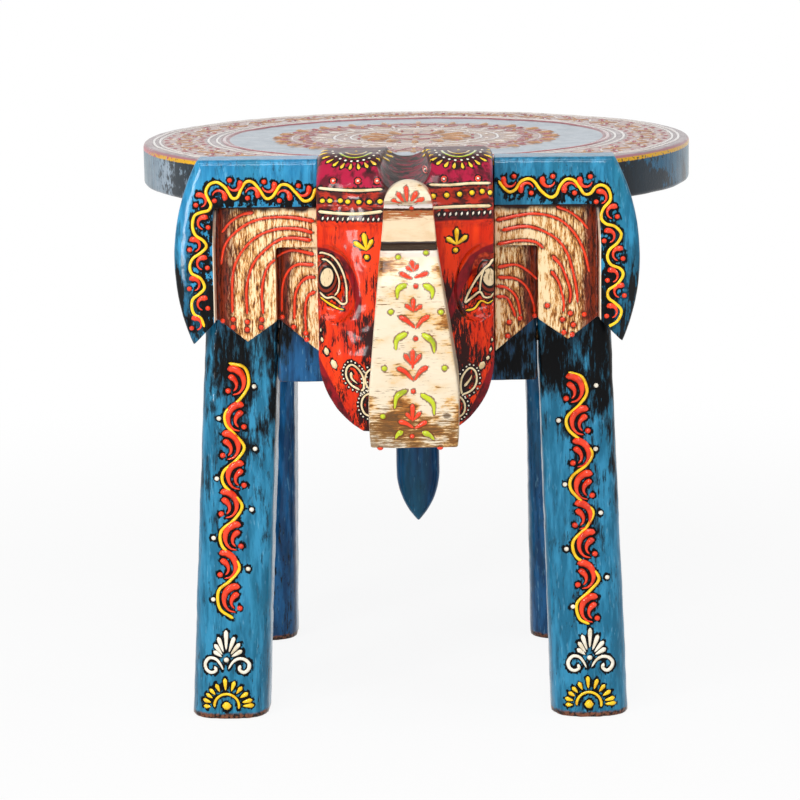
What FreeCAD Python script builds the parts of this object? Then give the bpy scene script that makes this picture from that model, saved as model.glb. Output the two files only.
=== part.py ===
import FreeCAD, Part
import math
import os
import Sketcher
from FreeCAD import Placement, Rotation, Vector

# Carved elephant stool: a round seat on four legs, with an elephant's head, ears, raised trunk and tail.
# +Z is up, the head faces -Y and +X is to the right of someone who faces the head. Lengths are in
# millimetres. Pieces are drawn about the middle plane of the head and the base, and a shared placement
# then moves them back and to the left, so that the origin lies on the floor under the middle of the
# whole stool.

SIZES = [
    ("stool_height", 305, "floor to the top of the seat"),
    ("seat_diameter", 306, "the round seat"),
    ("seat_shift", 3, "the seat lies this far to the right of the base"),
    ("seat_thickness", 24, "its boards"),
    ("seat_edge_round", 2.5, "worn upper and lower rim"),
    ("middle_board_width", 104, "the middle one of the three seat boards"),
    ("front_plane", 115, "seat axis to the front faces of the front legs and rail"),
    ("base_depth", 201, "front faces of the front legs to the back faces of the rear legs"),
    ("leg_depth", 42, "each leg from front to back"),
    ("leg_foot_width", 42.5, "each leg from side to side on the floor"),
    ("leg_top_width", 38.5, "and under the seat"),
    ("front_foot_spacing", 153.5, "between the front legs on the floor"),
    ("front_top_spacing", 132, "and under the seat"),
    ("rear_foot_spacing", 139, "between the rear legs on the floor"),
    ("rear_top_spacing", 132, "and under the seat"),
    ("front_feet_lean", 2, "the front feet stand this far left of where the legs meet the seat"),
    ("rear_legs_shift", 3, "the rear legs stand this far to the left"),
    ("foot_round", 15, "corners of a foot, seen from above"),
    ("leg_outer_round", 7, "front outer corner of a leg at the rails"),
    ("leg_edge_round", 1.5, "its other corners there"),
    ("rail_height", 95, "apron rails"),
    ("rail_thickness", 24, "apron rails"),
    ("side_rail_inset", 11, "inner face of a leg's top to the inner face of a side rail"),
    ("head_width", 91, "the carved head block"),
    ("head_height", 143.5, "from its chin to its domes"),
    ("head_rise", 6.5, "domes above the seat"),
    ("head_depth", 58, "front plane to the middle of the face"),
    ("head_side_depth", 49, "front plane to the front corners of the face"),
    ("head_corner_round", 5, "upper outer corners of the head"),
    ("jaw_height", 40, "height over which the jaw draws in to the chin"),
    ("chin_width", 46, "flat under side of the chin"),
    ("chin_setback", 9, "chin behind the middle of the face"),
    ("dome_round", 22.5, "roll of the domes from their top down to the headband"),
    ("valley_width", 29, "saddle between the domes, at the face"),
    ("valley_depth", 19, "its depth there"),
    ("valley_back_width", 17, "the saddle where it reaches the seat"),
    ("valley_back_depth", 3, "its depth there"),
    ("band_top", 20.5, "top of the head to the top of the headband"),
    ("band_height", 13, "headband bead"),
    ("band_proud", 1.5, "headband in front of the forehead"),
    ("eye_spread", 80, "between the centres of the two eyes"),
    ("eye_height", 79, "chin to the centre of an eye"),
    ("socket_width", 29, "hollow round an eye"),
    ("socket_height", 42, "hollow round an eye"),
    ("socket_depth", 4, "hollow round an eye"),
    ("eye_width", 16, "swell of the eye in its hollow"),
    ("eye_length", 25, "swell of the eye in its hollow"),
    ("eye_proud", 4, "swell of the eye above the floor of its hollow"),
    ("eye_tilt", 14, "degrees that the eyes lean inward at their lower ends"),
    ("ear_reach", 75, "side of the head to the widest point of an ear"),
    ("ear_height", 98, "top of an ear to the point of its border"),
    ("ear_rise", 2.5, "ears above the seat"),
    ("ear_thickness", 22, "ear boards"),
    ("ear_shoulder", 12, "width that the upper corner draws in from the widest point"),
    ("ear_band_height", 25.5, "painted border along the top"),
    ("ear_band_width", 20.5, "painted border along the side, at the widest point"),
    ("ear_round", 2.5, "edges of the border"),
    ("pleat_depth", 9, "how deep a pleat starts behind the border"),
    ("pleat_rise", 7.5, "how far its face comes forward again"),
    ("outer_pleat_width", 32, "pleat beside the border"),
    ("inner_pleat_top", 21, "top of the pleats down to the step above the inner pleat"),
    ("trunk_shift", 4.5, "the root of the trunk stands this far to the right"),
    ("trunk_lean", 2, "its tip stands this far left of its root"),
    ("trunk_root_width", 46, "lower end of the trunk"),
    ("trunk_tip_width", 25, "below its rounded tip"),
    ("trunk_height", 133.5, "lower end to tip"),
    ("trunk_drop", 1.5, "tip of the trunk below the top of the seat"),
    ("trunk_reach", 42, "middle of the face to the front of the trunk"),
    ("trunk_seat_height", 62, "height over which its back lies on the face"),
    ("trunk_gap", 12, "forehead to the free part of the trunk"),
    ("trunk_cope_depth", 14, "depth to which the root is cut to the curve of the face"),
    ("trunk_tip_depth", 17, "tip from front to back"),
    ("trunk_tip_back", 14, "front of the tip behind the front of the trunk"),
    ("trunk_tip_height", 13, "tip above its ledge"),
    ("trunk_hollow_height", 19, "smooth hollow below the ledge"),
    ("trunk_hollow_depth", 5, "depth of that hollow"),
    ("trunk_edge_round", 2, "worn edges of the trunk"),
    ("tail_width", 26.5, "tail"),
    ("tail_thickness", 17, "tail"),
    ("tail_top_drop", 12, "under side of the seat to the top of the tail"),
    ("tail_tip_height", 62, "floor to the tip of the tail"),
    ("tail_point", 34, "height over which the tail draws in to its tip"),
    ("tail_round", 5, "edges of the tail"),
    ("dowel_diameter", 8, "dowels"),
    ("dowel_length", 34, "dowels"),
    ("dowel_fit", 0.1, "clearance round a dowel, a nail or a screw"),
    ("dowel_end_gap", 1, "space for glue at each end of a dowel"),
    ("leg_dowel_in_seat", 14, "how far the leg dowels go into the seat"),
    ("screw_diameter", 5, "screw shanks"),
    ("screw_head_diameter", 10, "countersunk heads"),
    ("screw_head_depth", 3, "countersunk heads"),
    ("head_screw_length", 60, "screws that hold the head"),
    ("tail_screw_length", 34, "screw that holds the tail"),
    ("nail_diameter", 3, "nails that hold the ears"),
    ("nail_head_diameter", 6, "their heads"),
    ("nail_head_depth", 1, "their heads"),
    ("nail_length", 44, "with the head"),
    ("overrun", 5, "how far a cutting shape runs past the piece that it cuts"),
]

# Where dowels, screws and nails lie, as shares of the piece that they join.
RAIL_DOWEL_SHARES = (0.25, 0.75)
SEAM_DOWEL_SHARES = (-0.6, 0.05, 0.6)
HEAD_SCREW_SHARES = (0.3, 0.7)
TRUNK_DOWEL_SHARES = (0.3, 0.75)
EAR_NAIL_REACH_SHARES = (0.14, 0.56)

# Points nearer than this are one point.
TOUCH = 0.01

# Height of a quarter circle over its chord, as a share of its radius.
QUARTER_ARC_SHARE = 1 - math.sqrt(0.5)

# Part of a full turn that the face's profile is swept through, in degrees.
FACE_SWEEP = 110

doc = FreeCAD.newDocument("elephant_stool")
sheet = doc.addObject("Spreadsheet::Sheet", "Sizes")
for row, (alias, number, note) in enumerate(SIZES, start=1):
    sheet.set("A%d" % row, str(number))
    sheet.setAlias("A%d" % row, alias)
    sheet.set("B%d" % row, note)
doc.recompute()


class Size:
    """A length of the sheet, or one worked out from such lengths, with the expression that gives it."""

    def __init__(self, value, text):
        self.value = float(value)
        self.text = text

    def join(self, sign, other, value):
        return Size(value, "(%s %s %s)" % (self.text, sign, other.text))

    def __add__(self, other):
        other = as_size(other)
        return self.join("+", other, self.value + other.value)

    def __sub__(self, other):
        other = as_size(other)
        return self.join("-", other, self.value - other.value)

    def __mul__(self, other):
        other = as_size(other)
        return self.join("*", other, self.value * other.value)

    def __truediv__(self, other):
        other = as_size(other)
        return self.join("/", other, self.value / other.value)

    def __radd__(self, other):
        return as_size(other) + self

    def __rsub__(self, other):
        return as_size(other) - self

    def __rmul__(self, other):
        return as_size(other) * self

    def __neg__(self):
        return as_size(0) - self


def as_size(number):
    if isinstance(number, Size):
        return number
    return Size(number, repr(number))


def named(alias):
    return Size(sheet.get(alias), "Sizes." + alias)


def bind(piece, **properties):
    """Sets properties of a document object to sizes, and ties them to the sheet."""
    for name, size in properties.items():
        size = as_size(size)
        setattr(piece, name, size.value)
        piece.setExpression(name, size.text)


def place(piece, x=0, y=0, z=0, rotation=None):
    """Puts a document object at a place that stays tied to the sheet."""
    spot = [as_size(x), as_size(y), as_size(z)]
    piece.Placement = Placement(Vector(*[size.value for size in spot]), rotation or Rotation())
    for axis, size in zip("xyz", spot):
        piece.setExpression("Placement.Base." + axis, size.text)


# Sizes that follow from those of the sheet.
stool_height = named("stool_height")
seat_radius = named("seat_diameter") / 2
seat_thickness = named("seat_thickness")
leg_height = stool_height - seat_thickness
front_plane = named("front_plane")
rear_plane = named("base_depth") - front_plane
leg_depth = named("leg_depth")
rail_height = named("rail_height")
rail_thickness = named("rail_thickness")
rail_bottom = leg_height - rail_height
head_half = named("head_width") / 2
head_top = stool_height + named("head_rise")
chin_level = head_top - named("head_height")
face_plane = front_plane + named("head_depth")
trunk_front = face_plane + named("trunk_reach")
seat_x = named("seat_shift")
seat_back = (trunk_front - seat_radius) / 2
dowel_radius = named("dowel_diameter") / 2
dowel_fit = named("dowel_fit")
overrun = named("overrun")
parts = []


def keep(piece, label):
    """Names a finished sub-part and sets it in the stool's frame."""
    piece.Label = label
    place(piece, x=-seat_x, y=seat_back)
    parts.append(piece)
    return piece


# Rotations that lay a drawing down in the plan, from the front (x across, y up) or from the side
# (x from front to back, y up).
PLAN = Rotation()
FRONT = Rotation(Vector(1, 0, 0), 90)
SIDE = Rotation(Vector(1, 1, 1), 120)
PLANE_ROLES = {"plan": "XY_Plane", "front": "XZ_Plane", "side": "YZ_Plane"}


def draw(sketch, corners):
    """Draws a closed outline. A corner is (x, y), or (x, y, bulge) where an arc leads to the next one.

    A bulge is the height of the arc over its chord, positive to the left of the way along the outline.
    """
    points = [(as_size(corner[0]), as_size(corner[1])) for corner in corners]
    spots = [Vector(x.value, y.value, 0) for x, y in points]
    ends = []
    for index, corner in enumerate(corners):
        start = spots[index]
        stop = spots[(index + 1) % len(spots)]
        if len(corner) == 2:
            ends.append((sketch.addGeometry(Part.LineSegment(start, stop)), 1, 2))
            continue
        bulge = as_size(corner[2])
        chord = stop - start
        normal = Vector(-chord.y, chord.x, 0).normalize()
        middle = (start + stop) * 0.5 + normal * bulge.value
        # An arc always runs counter-clockwise, so one that bulges to the left is drawn from its far end.
        forward = bulge.value < 0
        number = sketch.addGeometry(Part.Arc(*((start, middle, stop) if forward else (stop, middle, start))))
        ends.append((number, 1, 2) if forward else (number, 2, 1))
        far_x, far_y = points[(index + 1) % len(points)]
        run = far_x - points[index][0]
        rise = far_y - points[index][1]
        height = bulge if bulge.value > 0 else -bulge
        radius = ((run * run + rise * rise) / 4 + height * height) / (2 * height)
        bind_datum(sketch, Sketcher.Constraint("Radius", number, radius.value), radius)
    for index, (number, first, last) in enumerate(ends):
        following, first_of_next, _ = ends[(index + 1) % len(ends)]
        sketch.addConstraint(Sketcher.Constraint("Coincident", number, last, following, first_of_next))
        x, y = points[index]
        bind_datum(sketch, Sketcher.Constraint("DistanceX", -1, 1, number, first, x.value), x)
        bind_datum(sketch, Sketcher.Constraint("DistanceY", -1, 1, number, first, y.value), y)


def bind_datum(sketch, constraint, size):
    number = sketch.addConstraint(constraint)
    sketch.setExpression("Constraints[%d]" % number, size.text)


def rounded_corners(left, right, front, back, rounds):
    """Corners of a rectangle in the plan, with a round at each: front left, front right, back right, back left."""
    front_left, front_right, back_right, back_left = [as_size(size) for size in rounds]
    return [
        (left + front_left, front),
        (right - front_right, front, -front_right * QUARTER_ARC_SHARE),
        (right, front + front_right),
        (right, back - back_right, -back_right * QUARTER_ARC_SHARE),
        (right - back_right, back),
        (left + back_left, back, -back_left * QUARTER_ARC_SHARE),
        (left, back - back_left),
        (left, front + front_left, -front_left * QUARTER_ARC_SHARE),
    ]


def body_sketch(body, view, corners, offset=0):
    """A sketch of a body, on one of its own origin planes moved along the plane's normal."""
    sketch = body.newObject("Sketcher::SketchObject", body.Name + "_sketch")
    role = PLANE_ROLES[view]
    plane = [feature for feature in body.Origin.OriginFeatures if feature.Role == role][0]
    sketch.AttachmentSupport = (plane, "")
    sketch.MapMode = "FlatFace"
    offset = as_size(offset)
    sketch.AttachmentOffset = Placement(Vector(0, 0, offset.value), Rotation())
    sketch.setExpression("AttachmentOffset.Base.z", offset.text)
    draw(sketch, corners)
    return sketch


def loose_prism(name, view, corners, length, start=0):
    """An outline extruded along the normal of its view, from start: plan +Z, front -Y, side +X."""
    sketch = doc.addObject("Sketcher::SketchObject", name + "_outline")
    rotation = {"plan": PLAN, "front": FRONT, "side": SIDE}[view]
    spot = {"plan": {"z": start}, "front": {"y": -as_size(start)}, "side": {"x": start}}[view]
    place(sketch, rotation=rotation, **spot)
    draw(sketch, corners)
    prism = doc.addObject("Part::Extrusion", name)
    prism.Base = sketch
    prism.DirMode = "Normal"
    prism.Solid = True
    bind(prism, LengthFwd=length)
    return prism


def cylinder(name, radius, length, x, y, z, rotation=None):
    rod = doc.addObject("Part::Cylinder", name)
    bind(rod, Radius=radius, Height=length)
    place(rod, x, y, z, rotation)
    return rod


def cut(name, base, tools):
    """A piece with the shapes of some tools taken out of it."""
    group = doc.addObject("Part::Compound", name + "_tools")
    group.Links = tools
    result = doc.addObject("Part::Cut", name)
    result.Base = base
    result.Tool = group
    return result


def round_edges(name, base, radius, wanted):
    """Rounds the edges of a document object that the wanted function picks."""
    doc.recompute()
    numbers = [number for number, edge in enumerate(base.Shape.Edges, start=1) if wanted(edge)]
    rounded = doc.addObject("Part::Fillet", name)
    rounded.Base = base
    rounded.Edges = [(number, radius.value, radius.value) for number in numbers]
    return rounded


# Directions in which a rod points away from its start.
TO_RIGHT = Rotation(Vector(0, 1, 0), 90)
TO_LEFT = Rotation(Vector(0, 1, 0), -90)
TO_BACK = Rotation(Vector(1, 0, 0), -90)
TO_FRONT = Rotation(Vector(1, 0, 0), 90)
UP = Rotation()


class Rods:
    """Dowels and the holes that they sit in: each rod is listed once, with the pieces that it joins."""

    def __init__(self):
        self.solids = []
        self.holes = {}

    def add(self, x, y, z, direction, radius, length, pieces, end_gap, opens=False):
        """A rod from x, y, z, and its hole, which is longer by a gap at each closed end."""
        step = direction.multVec(Vector(0, 0, 1))
        signs = [round(component) for component in step]
        name = "rod_%d" % (len(self.solids) + len(self.holes))
        self.solids.append(cylinder(name, radius, length, x, y, z, direction))
        before = 0 if opens else end_gap
        spot = [as_size(place_) - before * sign for place_, sign in zip((x, y, z), signs)]
        hole_length = length + end_gap + before
        for piece in pieces:
            hole = cylinder(name + "_hole", radius + dowel_fit, hole_length, *spot, direction)
            self.holes.setdefault(piece, []).append(hole)


rods = Rods()
dowel_length = named("dowel_length")
end_gap = named("dowel_end_gap")


# The legs


def leg_shift(kind, height):
    """How far a pair of legs stands to the right of the middle plane, at a height given as a size."""
    if kind == "rear":
        return -named("rear_legs_shift")
    return named("front_feet_lean") * (height / leg_height - 1)


def leg_faces(kind, height):
    """Half the space between a pair of legs, and the legs' half span, at a height given as a size."""
    foot = named(kind + "_foot_spacing") / 2
    top = named(kind + "_top_spacing") / 2
    inner = foot + (top - foot) * height / leg_height
    foot_width = named("leg_foot_width")
    width = foot_width + (named("leg_top_width") - foot_width) * height / leg_height
    return inner, inner + width


def leg_solid(name, kind, side, front):
    """A leg lofted from a rounded foot to a squarer section at the rails, and on up to the seat."""
    body = doc.addObject("PartDesign::Body", name)
    foot_round = named("foot_round")
    outer_round = named("leg_outer_round")
    edge_round = named("leg_edge_round")
    sections = []
    for height, rounds in (
        (as_size(0), (foot_round, foot_round)),
        (rail_bottom, (outer_round, edge_round)),
        (leg_height, (outer_round, edge_round)),
    ):
        inner, outer = leg_faces(kind, height)
        shift = leg_shift(kind, height)
        showing, other = rounds
        if side > 0:
            left, right, corner_rounds = inner + shift, outer + shift, (other, showing, other, other)
        else:
            left, right, corner_rounds = shift - outer, shift - inner, (showing, other, other, other)
        corners = rounded_corners(left, right, front, front + leg_depth, corner_rounds)
        sections.append(body_sketch(body, "plan", corners, height))
    loft = body.newObject("PartDesign::AdditiveLoft", name + "_loft")
    loft.Profile = sections[0]
    loft.Sections = sections[1:]
    loft.Ruled = True
    return body


LEGS = {
    "leg_front_left": ("front", -1, -front_plane),
    "leg_front_right": ("front", 1, -front_plane),
    "leg_rear_left": ("rear", -1, rear_plane - leg_depth),
    "leg_rear_right": ("rear", 1, rear_plane - leg_depth),
}
leg_solids = {label: leg_solid(label + "_solid", *facts) for label, facts in LEGS.items()}


# The rails


def cross_rail_solid(name, kind, back):
    """A rail between two legs of a pair, whose ends follow the slope of the legs."""
    low_inner, _ = leg_faces(kind, rail_bottom)
    high_inner, _ = leg_faces(kind, leg_height)
    low_shift = leg_shift(kind, rail_bottom)
    high_shift = leg_shift(kind, leg_height)
    corners = [
        (low_shift - low_inner, rail_bottom),
        (low_shift + low_inner, rail_bottom),
        (high_shift + high_inner, leg_height),
        (high_shift - high_inner, leg_height),
    ]
    body = doc.addObject("PartDesign::Body", name)
    pad = body.newObject("PartDesign::Pad", name + "_pad")
    pad.Profile = body_sketch(body, "front", corners, -back)
    bind(pad, Length=rail_thickness)
    return body


def side_rail_solid(name, side):
    """A rail between a front and a rear leg, which takes up the shift of the rear legs."""
    inset = named("side_rail_inset")
    front_inner, _ = leg_faces("front", leg_height)
    rear_inner, _ = leg_faces("rear", leg_height)
    front_end = leg_depth - front_plane
    rear_end = rear_plane - leg_depth
    rear_shift = leg_shift("rear", leg_height)
    front_face = side * (front_inner + inset)
    rear_face = side * (rear_inner + inset) + rear_shift
    thickness = side * rail_thickness
    corners = [
        (front_face, front_end),
        (front_face + thickness, front_end),
        (rear_face + thickness, rear_end),
        (rear_face, rear_end),
    ]
    body = doc.addObject("PartDesign::Body", name)
    pad = body.newObject("PartDesign::Pad", name + "_pad")
    pad.Profile = body_sketch(body, "plan", corners, rail_bottom)
    bind(pad, Length=rail_height)
    return body


front_rail_back = rail_thickness - front_plane
rail_solids = {
    "rail_front": cross_rail_solid("rail_front_solid", "front", front_rail_back),
    "rail_rear": cross_rail_solid("rail_rear_solid", "rear", rear_plane),
    "rail_left": side_rail_solid("rail_left_solid", -1),
    "rail_right": side_rail_solid("rail_right_solid", 1),
}

# Dowels in the ends of the rails, half in the rail and half in the leg. Those of the cross rails lie
# at other heights than those of the side rails, so that they pass each other inside a leg.
for share in RAIL_DOWEL_SHARES:
    level = rail_bottom + rail_height * share
    for rail, kind, middle in (
        ("rail_front", "front", rail_thickness / 2 - front_plane),
        ("rail_rear", "rear", rear_plane - rail_thickness / 2),
    ):
        inner, _ = leg_faces(kind, level)
        shift = leg_shift(kind, level)
        for side, word in ((-1, "left"), (1, "right")):
            start = side * (inner - dowel_length / 2) + shift
            direction = TO_RIGHT if side > 0 else TO_LEFT
            joined = (rail, "leg_%s_%s" % (kind, word))
            rods.add(start, middle, level, direction, dowel_radius, dowel_length, joined, end_gap)
    side_level = level - named("dowel_diameter") * 2
    for side, word in ((-1, "left"), (1, "right")):
        for kind, meeting in (("front", leg_depth - front_plane), ("rear", rear_plane - leg_depth)):
            top_inner, _ = leg_faces(kind, leg_height)
            x = side * (top_inner + named("side_rail_inset") + rail_thickness / 2) + leg_shift(kind, leg_height)
            y = meeting - dowel_length / 2
            joined = ("rail_" + word, "leg_%s_%s" % (kind, word))
            rods.add(x, y, side_level, TO_BACK, dowel_radius, dowel_length, joined, end_gap)
rail_dowels = rods.solids
rods.solids = []

# Dowels from the tops of the legs into the seat.
seat_bottom = leg_height
in_seat = named("leg_dowel_in_seat")
for label, (kind, side, front) in LEGS.items():
    inner, outer = leg_faces(kind, leg_height)
    x = side * (inner + outer) / 2 + leg_shift(kind, leg_height)
    boards = ("seat_board_left",) if side < 0 else ("seat_board_right",)
    start = seat_bottom + in_seat - dowel_length
    rods.add(x, front + leg_depth / 2, start, UP, dowel_radius, dowel_length, (label,) + boards, end_gap)
leg_dowels = rods.solids
rods.solids = []

# Dowels across the seams between the seat boards.
seam = named("middle_board_width") / 2
for side, board in ((-1, "seat_board_left"), (1, "seat_board_right")):
    for share in SEAM_DOWEL_SHARES:
        x = seat_x + side * seam - dowel_length / 2
        y = seat_radius * share
        z = stool_height - seat_thickness / 2
        joined = (board, "seat_board_middle")
        rods.add(x, y, z, TO_RIGHT, dowel_radius, dowel_length, joined, end_gap)
seat_dowels = rods.solids
rods.solids = []

# Dowels between the trunk's root and the face.
trunk_x = named("trunk_shift")
trunk_bottom = stool_height - named("trunk_drop") - named("trunk_height")
trunk_seat_height = named("trunk_seat_height")
for share in TRUNK_DOWEL_SHARES:
    z = trunk_bottom + trunk_seat_height * share
    y = dowel_length / 2 - face_plane
    rods.add(trunk_x, y, z, TO_FRONT, dowel_radius, dowel_length, ("trunk", "head_block"), end_gap)
trunk_dowels = rods.solids
rods.solids = []


# Screws and nails


def fastener(name, head_radius, head_depth, shank_radius, length, x, y, z, direction, countersunk):
    """A screw or nail whose head starts at x, y, z and whose shank points in the direction."""
    step = direction.multVec(Vector(0, 0, 1))
    spot = [as_size(place_) + head_depth * round(sign) for place_, sign in zip((x, y, z), step)]
    head = doc.addObject("Part::Cone", name + "_head")
    bind(head, Radius1=head_radius, Radius2=shank_radius if countersunk else head_radius, Height=head_depth)
    place(head, x, y, z, direction)
    shank = cylinder(name + "_shank", shank_radius, length - head_depth, *spot, direction)
    joined = doc.addObject("Part::Fuse", name)
    joined.Base = head
    joined.Tool = shank
    return joined


def fastener_with_hole(name, kind, length, x, y, z, direction, countersunk, pieces):
    """A fastener, and the hole that takes it in each piece that it goes through."""
    head_radius = named(kind + "_head_diameter") / 2
    head_depth = named(kind + "_head_depth")
    shank_radius = named(kind + "_diameter") / 2
    solid = fastener(name, head_radius, head_depth, shank_radius, length, x, y, z, direction, countersunk)
    for piece in pieces:
        hole = fastener(
            name + "_hole_" + piece,
            head_radius + dowel_fit,
            head_depth,
            shank_radius + dowel_fit,
            length + dowel_fit,
            x,
            y,
            z,
            direction,
            countersunk,
        )
        rods.holes.setdefault(piece, []).append(hole)
    return solid


head_screws = []
for share in HEAD_SCREW_SHARES:
    x = head_half * (2 * share - 1)
    z = rail_bottom + rail_height / 2
    name = "head_screw_%d" % len(head_screws)
    length = named("head_screw_length")
    joined = ("rail_front", "head_block")
    screw = fastener_with_hole(name, "screw", length, x, front_rail_back, z, TO_FRONT, True, joined)
    head_screws.append(screw)

ear_thickness = named("ear_thickness")
ear_reach = named("ear_reach")
ear_top = stool_height + named("ear_rise")
ear_nails = []
for side, word in ((-1, "left"), (1, "right")):
    for share, behind in zip(EAR_NAIL_REACH_SHARES, ("rail_front", "leg_front_" + word)):
        x = side * (head_half + ear_reach * share)
        # Between the upper dowels of the cross rails and those of the side rails.
        z = rail_bottom + rail_height * RAIL_DOWEL_SHARES[-1] - named("dowel_diameter")
        # The heads sit on the floor of the pleat that they are driven through.
        y = named("pleat_depth") - front_plane - ear_thickness
        name = "ear_nail_%d" % len(ear_nails)
        joined = ("ear_" + word, behind)
        nail = fastener_with_hole(name, "nail", named("nail_length"), x, y, z, TO_BACK, False, joined)
        ear_nails.append(nail)

tail_top = seat_bottom - named("tail_top_drop")
tail_thickness = named("tail_thickness")
tail_screw_level = (tail_top + rail_bottom) / 2
tail_screw = fastener_with_hole(
    "tail_screw_solid",
    "screw",
    named("tail_screw_length"),
    0,
    rear_plane + tail_thickness,
    tail_screw_level,
    TO_FRONT,
    True,
    ("tail", "rail_rear"),
)


# The seat


def seat_disc():
    """The whole round seat with its worn rim, cut straight along the front for the head and ears."""
    disc = cylinder("seat_disc", seat_radius, seat_thickness, seat_x, 0, seat_bottom)
    rim = round_edges("seat_rim", disc, named("seat_edge_round"), lambda edge: len(edge.Vertexes) == 1)
    front_block = doc.addObject("Part::Box", "seat_front_cut")
    bind(front_block, Length=seat_radius * 2, Width=seat_radius, Height=seat_thickness + overrun * 2)
    place(front_block, seat_x - seat_radius, -front_plane - seat_radius, seat_bottom - overrun)
    flat_front = doc.addObject("Part::Cut", "seat_whole")
    flat_front.Base = rim
    flat_front.Tool = front_block
    return flat_front


def seat_board(name, whole, left, width):
    """The part of the seat between two seams."""
    strip = doc.addObject("Part::Box", name + "_strip")
    bind(strip, Length=width, Width=seat_radius * 2 + overrun * 2, Height=seat_thickness + overrun * 2)
    place(strip, seat_x + left, -seat_radius - overrun, seat_bottom - overrun)
    board = doc.addObject("Part::Common", name + "_solid")
    board.Base = whole
    board.Tool = strip
    return board


whole_seat = seat_disc()
outer_width = seat_radius - seam + overrun
seat_boards = {
    "seat_board_left": seat_board("seat_board_left", whole_seat, -seam - outer_width, outer_width),
    "seat_board_middle": seat_board("seat_board_middle", whole_seat, -seam, seam * 2),
    "seat_board_right": seat_board("seat_board_right", whole_seat, seam, outer_width),
}


# The head


def head_valley():
    """The saddle between the domes, a round-bottomed cut that deepens and widens from the seat to the face."""
    wall_share = 0.35
    sections = []
    for name, width, depth, y in (
        ("back", named("valley_back_width"), named("valley_back_depth"), front_plane - overrun),
        ("front", named("valley_width"), named("valley_depth"), face_plane + overrun),
    ):
        half = width / 2
        wall_foot = head_top - depth * wall_share
        outline = doc.addObject("Sketcher::SketchObject", "valley_%s_outline" % name)
        place(outline, y=-y, rotation=FRONT)
        draw(outline, [
            (-half, head_top + overrun),
            (-half, wall_foot, -depth * (1 - wall_share)),
            (half, wall_foot),
            (half, head_top + overrun),
        ])
        sections.append(outline)
    valley = doc.addObject("Part::Loft", "head_valley")
    valley.Sections = sections
    valley.Solid = True
    valley.Ruled = True
    return valley


def head_solid():
    """The head block: the side profile swept round the face, trimmed to the front outline, then carved."""
    side_depth = named("head_side_depth")
    corner = named("head_corner_round")
    jaw = named("jaw_height")
    chin_half = named("chin_width") / 2
    jaw_bulge_share = 0.16
    front_outline = [
        (-chin_half, chin_level),
        (chin_half, chin_level, -jaw * jaw_bulge_share),
        (head_half, chin_level + jaw),
        (head_half, head_top + overrun),
        (-head_half, head_top + overrun),
        (-head_half, chin_level + jaw, -jaw * jaw_bulge_share),
    ]
    block_depth = named("head_depth") + overrun
    front_form = loose_prism("head_front_form", "front", front_outline, block_depth, front_plane)

    # The face is an arc in the plan, so its profile turns about an upright axis behind it.
    face_bulge = named("head_depth") - side_depth
    face_radius = (head_half * head_half / face_bulge + face_bulge) / 2
    face_axis = face_radius - face_plane
    dome = named("dome_round")
    band_top = head_top - named("band_top")
    band_bottom = band_top - named("band_height")
    proud = named("band_proud")
    profile = doc.addObject("Sketcher::SketchObject", "head_profile")
    place(profile, rotation=SIDE)
    draw(profile, [
        (face_axis, chin_level - overrun),
        (face_axis, head_top),
        (dome - face_plane, head_top, -dome * QUARTER_ARC_SHARE),
        (-face_plane, head_top - dome),
        (-face_plane - proud, head_top - dome - proud),
        (-face_plane - proud, band_bottom),
        (-face_plane, band_bottom - proud),
        (-face_plane, chin_level + jaw),
        (named("chin_setback") - face_plane, chin_level),
        (named("chin_setback") - face_plane, chin_level - overrun),
    ])
    turned = doc.addObject("Part::Revolution", "head_turned_form")
    turned.Source = profile
    turned.Axis = Vector(0, 0, 1)
    turned.Angle = FACE_SWEEP
    turned.Symmetric = True
    turned.Solid = True
    turned.Base = Vector(0, face_axis.value, 0)
    turned.setExpression("Base.y", face_axis.text)
    whole = doc.addObject("Part::Common", "head_form")
    whole.Base = turned
    whole.Tool = front_form

    def along_upper_side(edge):
        first, last = edge.Vertexes[0], edge.Vertexes[-1]
        low = (head_top - dome).value
        on_one_side = abs(first.X - last.X) < TOUCH and abs(abs(first.X) - head_half.value) < TOUCH
        return on_one_side and min(first.Z, last.Z) > low - TOUCH and abs(first.Y - last.Y) > TOUCH

    block = round_edges("head_block_form", whole, corner, along_upper_side)

    tools = [head_valley()]
    eyes = []
    for side in (-1, 1):
        tilt = Rotation(Vector(0, side, 0), sheet.get("eye_tilt"))
        x = side * named("eye_spread") / 2
        z = chin_level + named("eye_height")
        face_here = -front_plane - side_depth
        socket = doc.addObject("Part::Ellipsoid", "socket")
        bind(
            socket,
            Radius1=named("socket_height") / 2,
            Radius2=named("socket_width") / 2,
            Radius3=named("socket_depth") * 2,
        )
        place(socket, x, face_here - named("socket_depth"), z, tilt)
        tools.append(socket)
        eye = doc.addObject("Part::Ellipsoid", "eye")
        bind(
            eye,
            Radius1=named("eye_length") / 2,
            Radius2=named("eye_width") / 2,
            Radius3=named("eye_proud"),
        )
        place(eye, x, face_here + named("socket_depth"), z, tilt)
        eyes.append(eye)
        for hollow_or_eye in (socket, eye):
            hollow_or_eye.setExpression("Placement.Rotation.Angle", named("eye_tilt").text)
    carved = cut("head_carved", block, tools)
    with_eyes = doc.addObject("Part::MultiFuse", "head_with_eyes")
    with_eyes.Shapes = [carved] + eyes
    # The eyes stop at the sides of the block, where the ears lie against it.
    head = doc.addObject("Part::Common", "head_solid")
    head.Base = with_eyes
    head.Tool = front_form
    return head


# The ears


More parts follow.
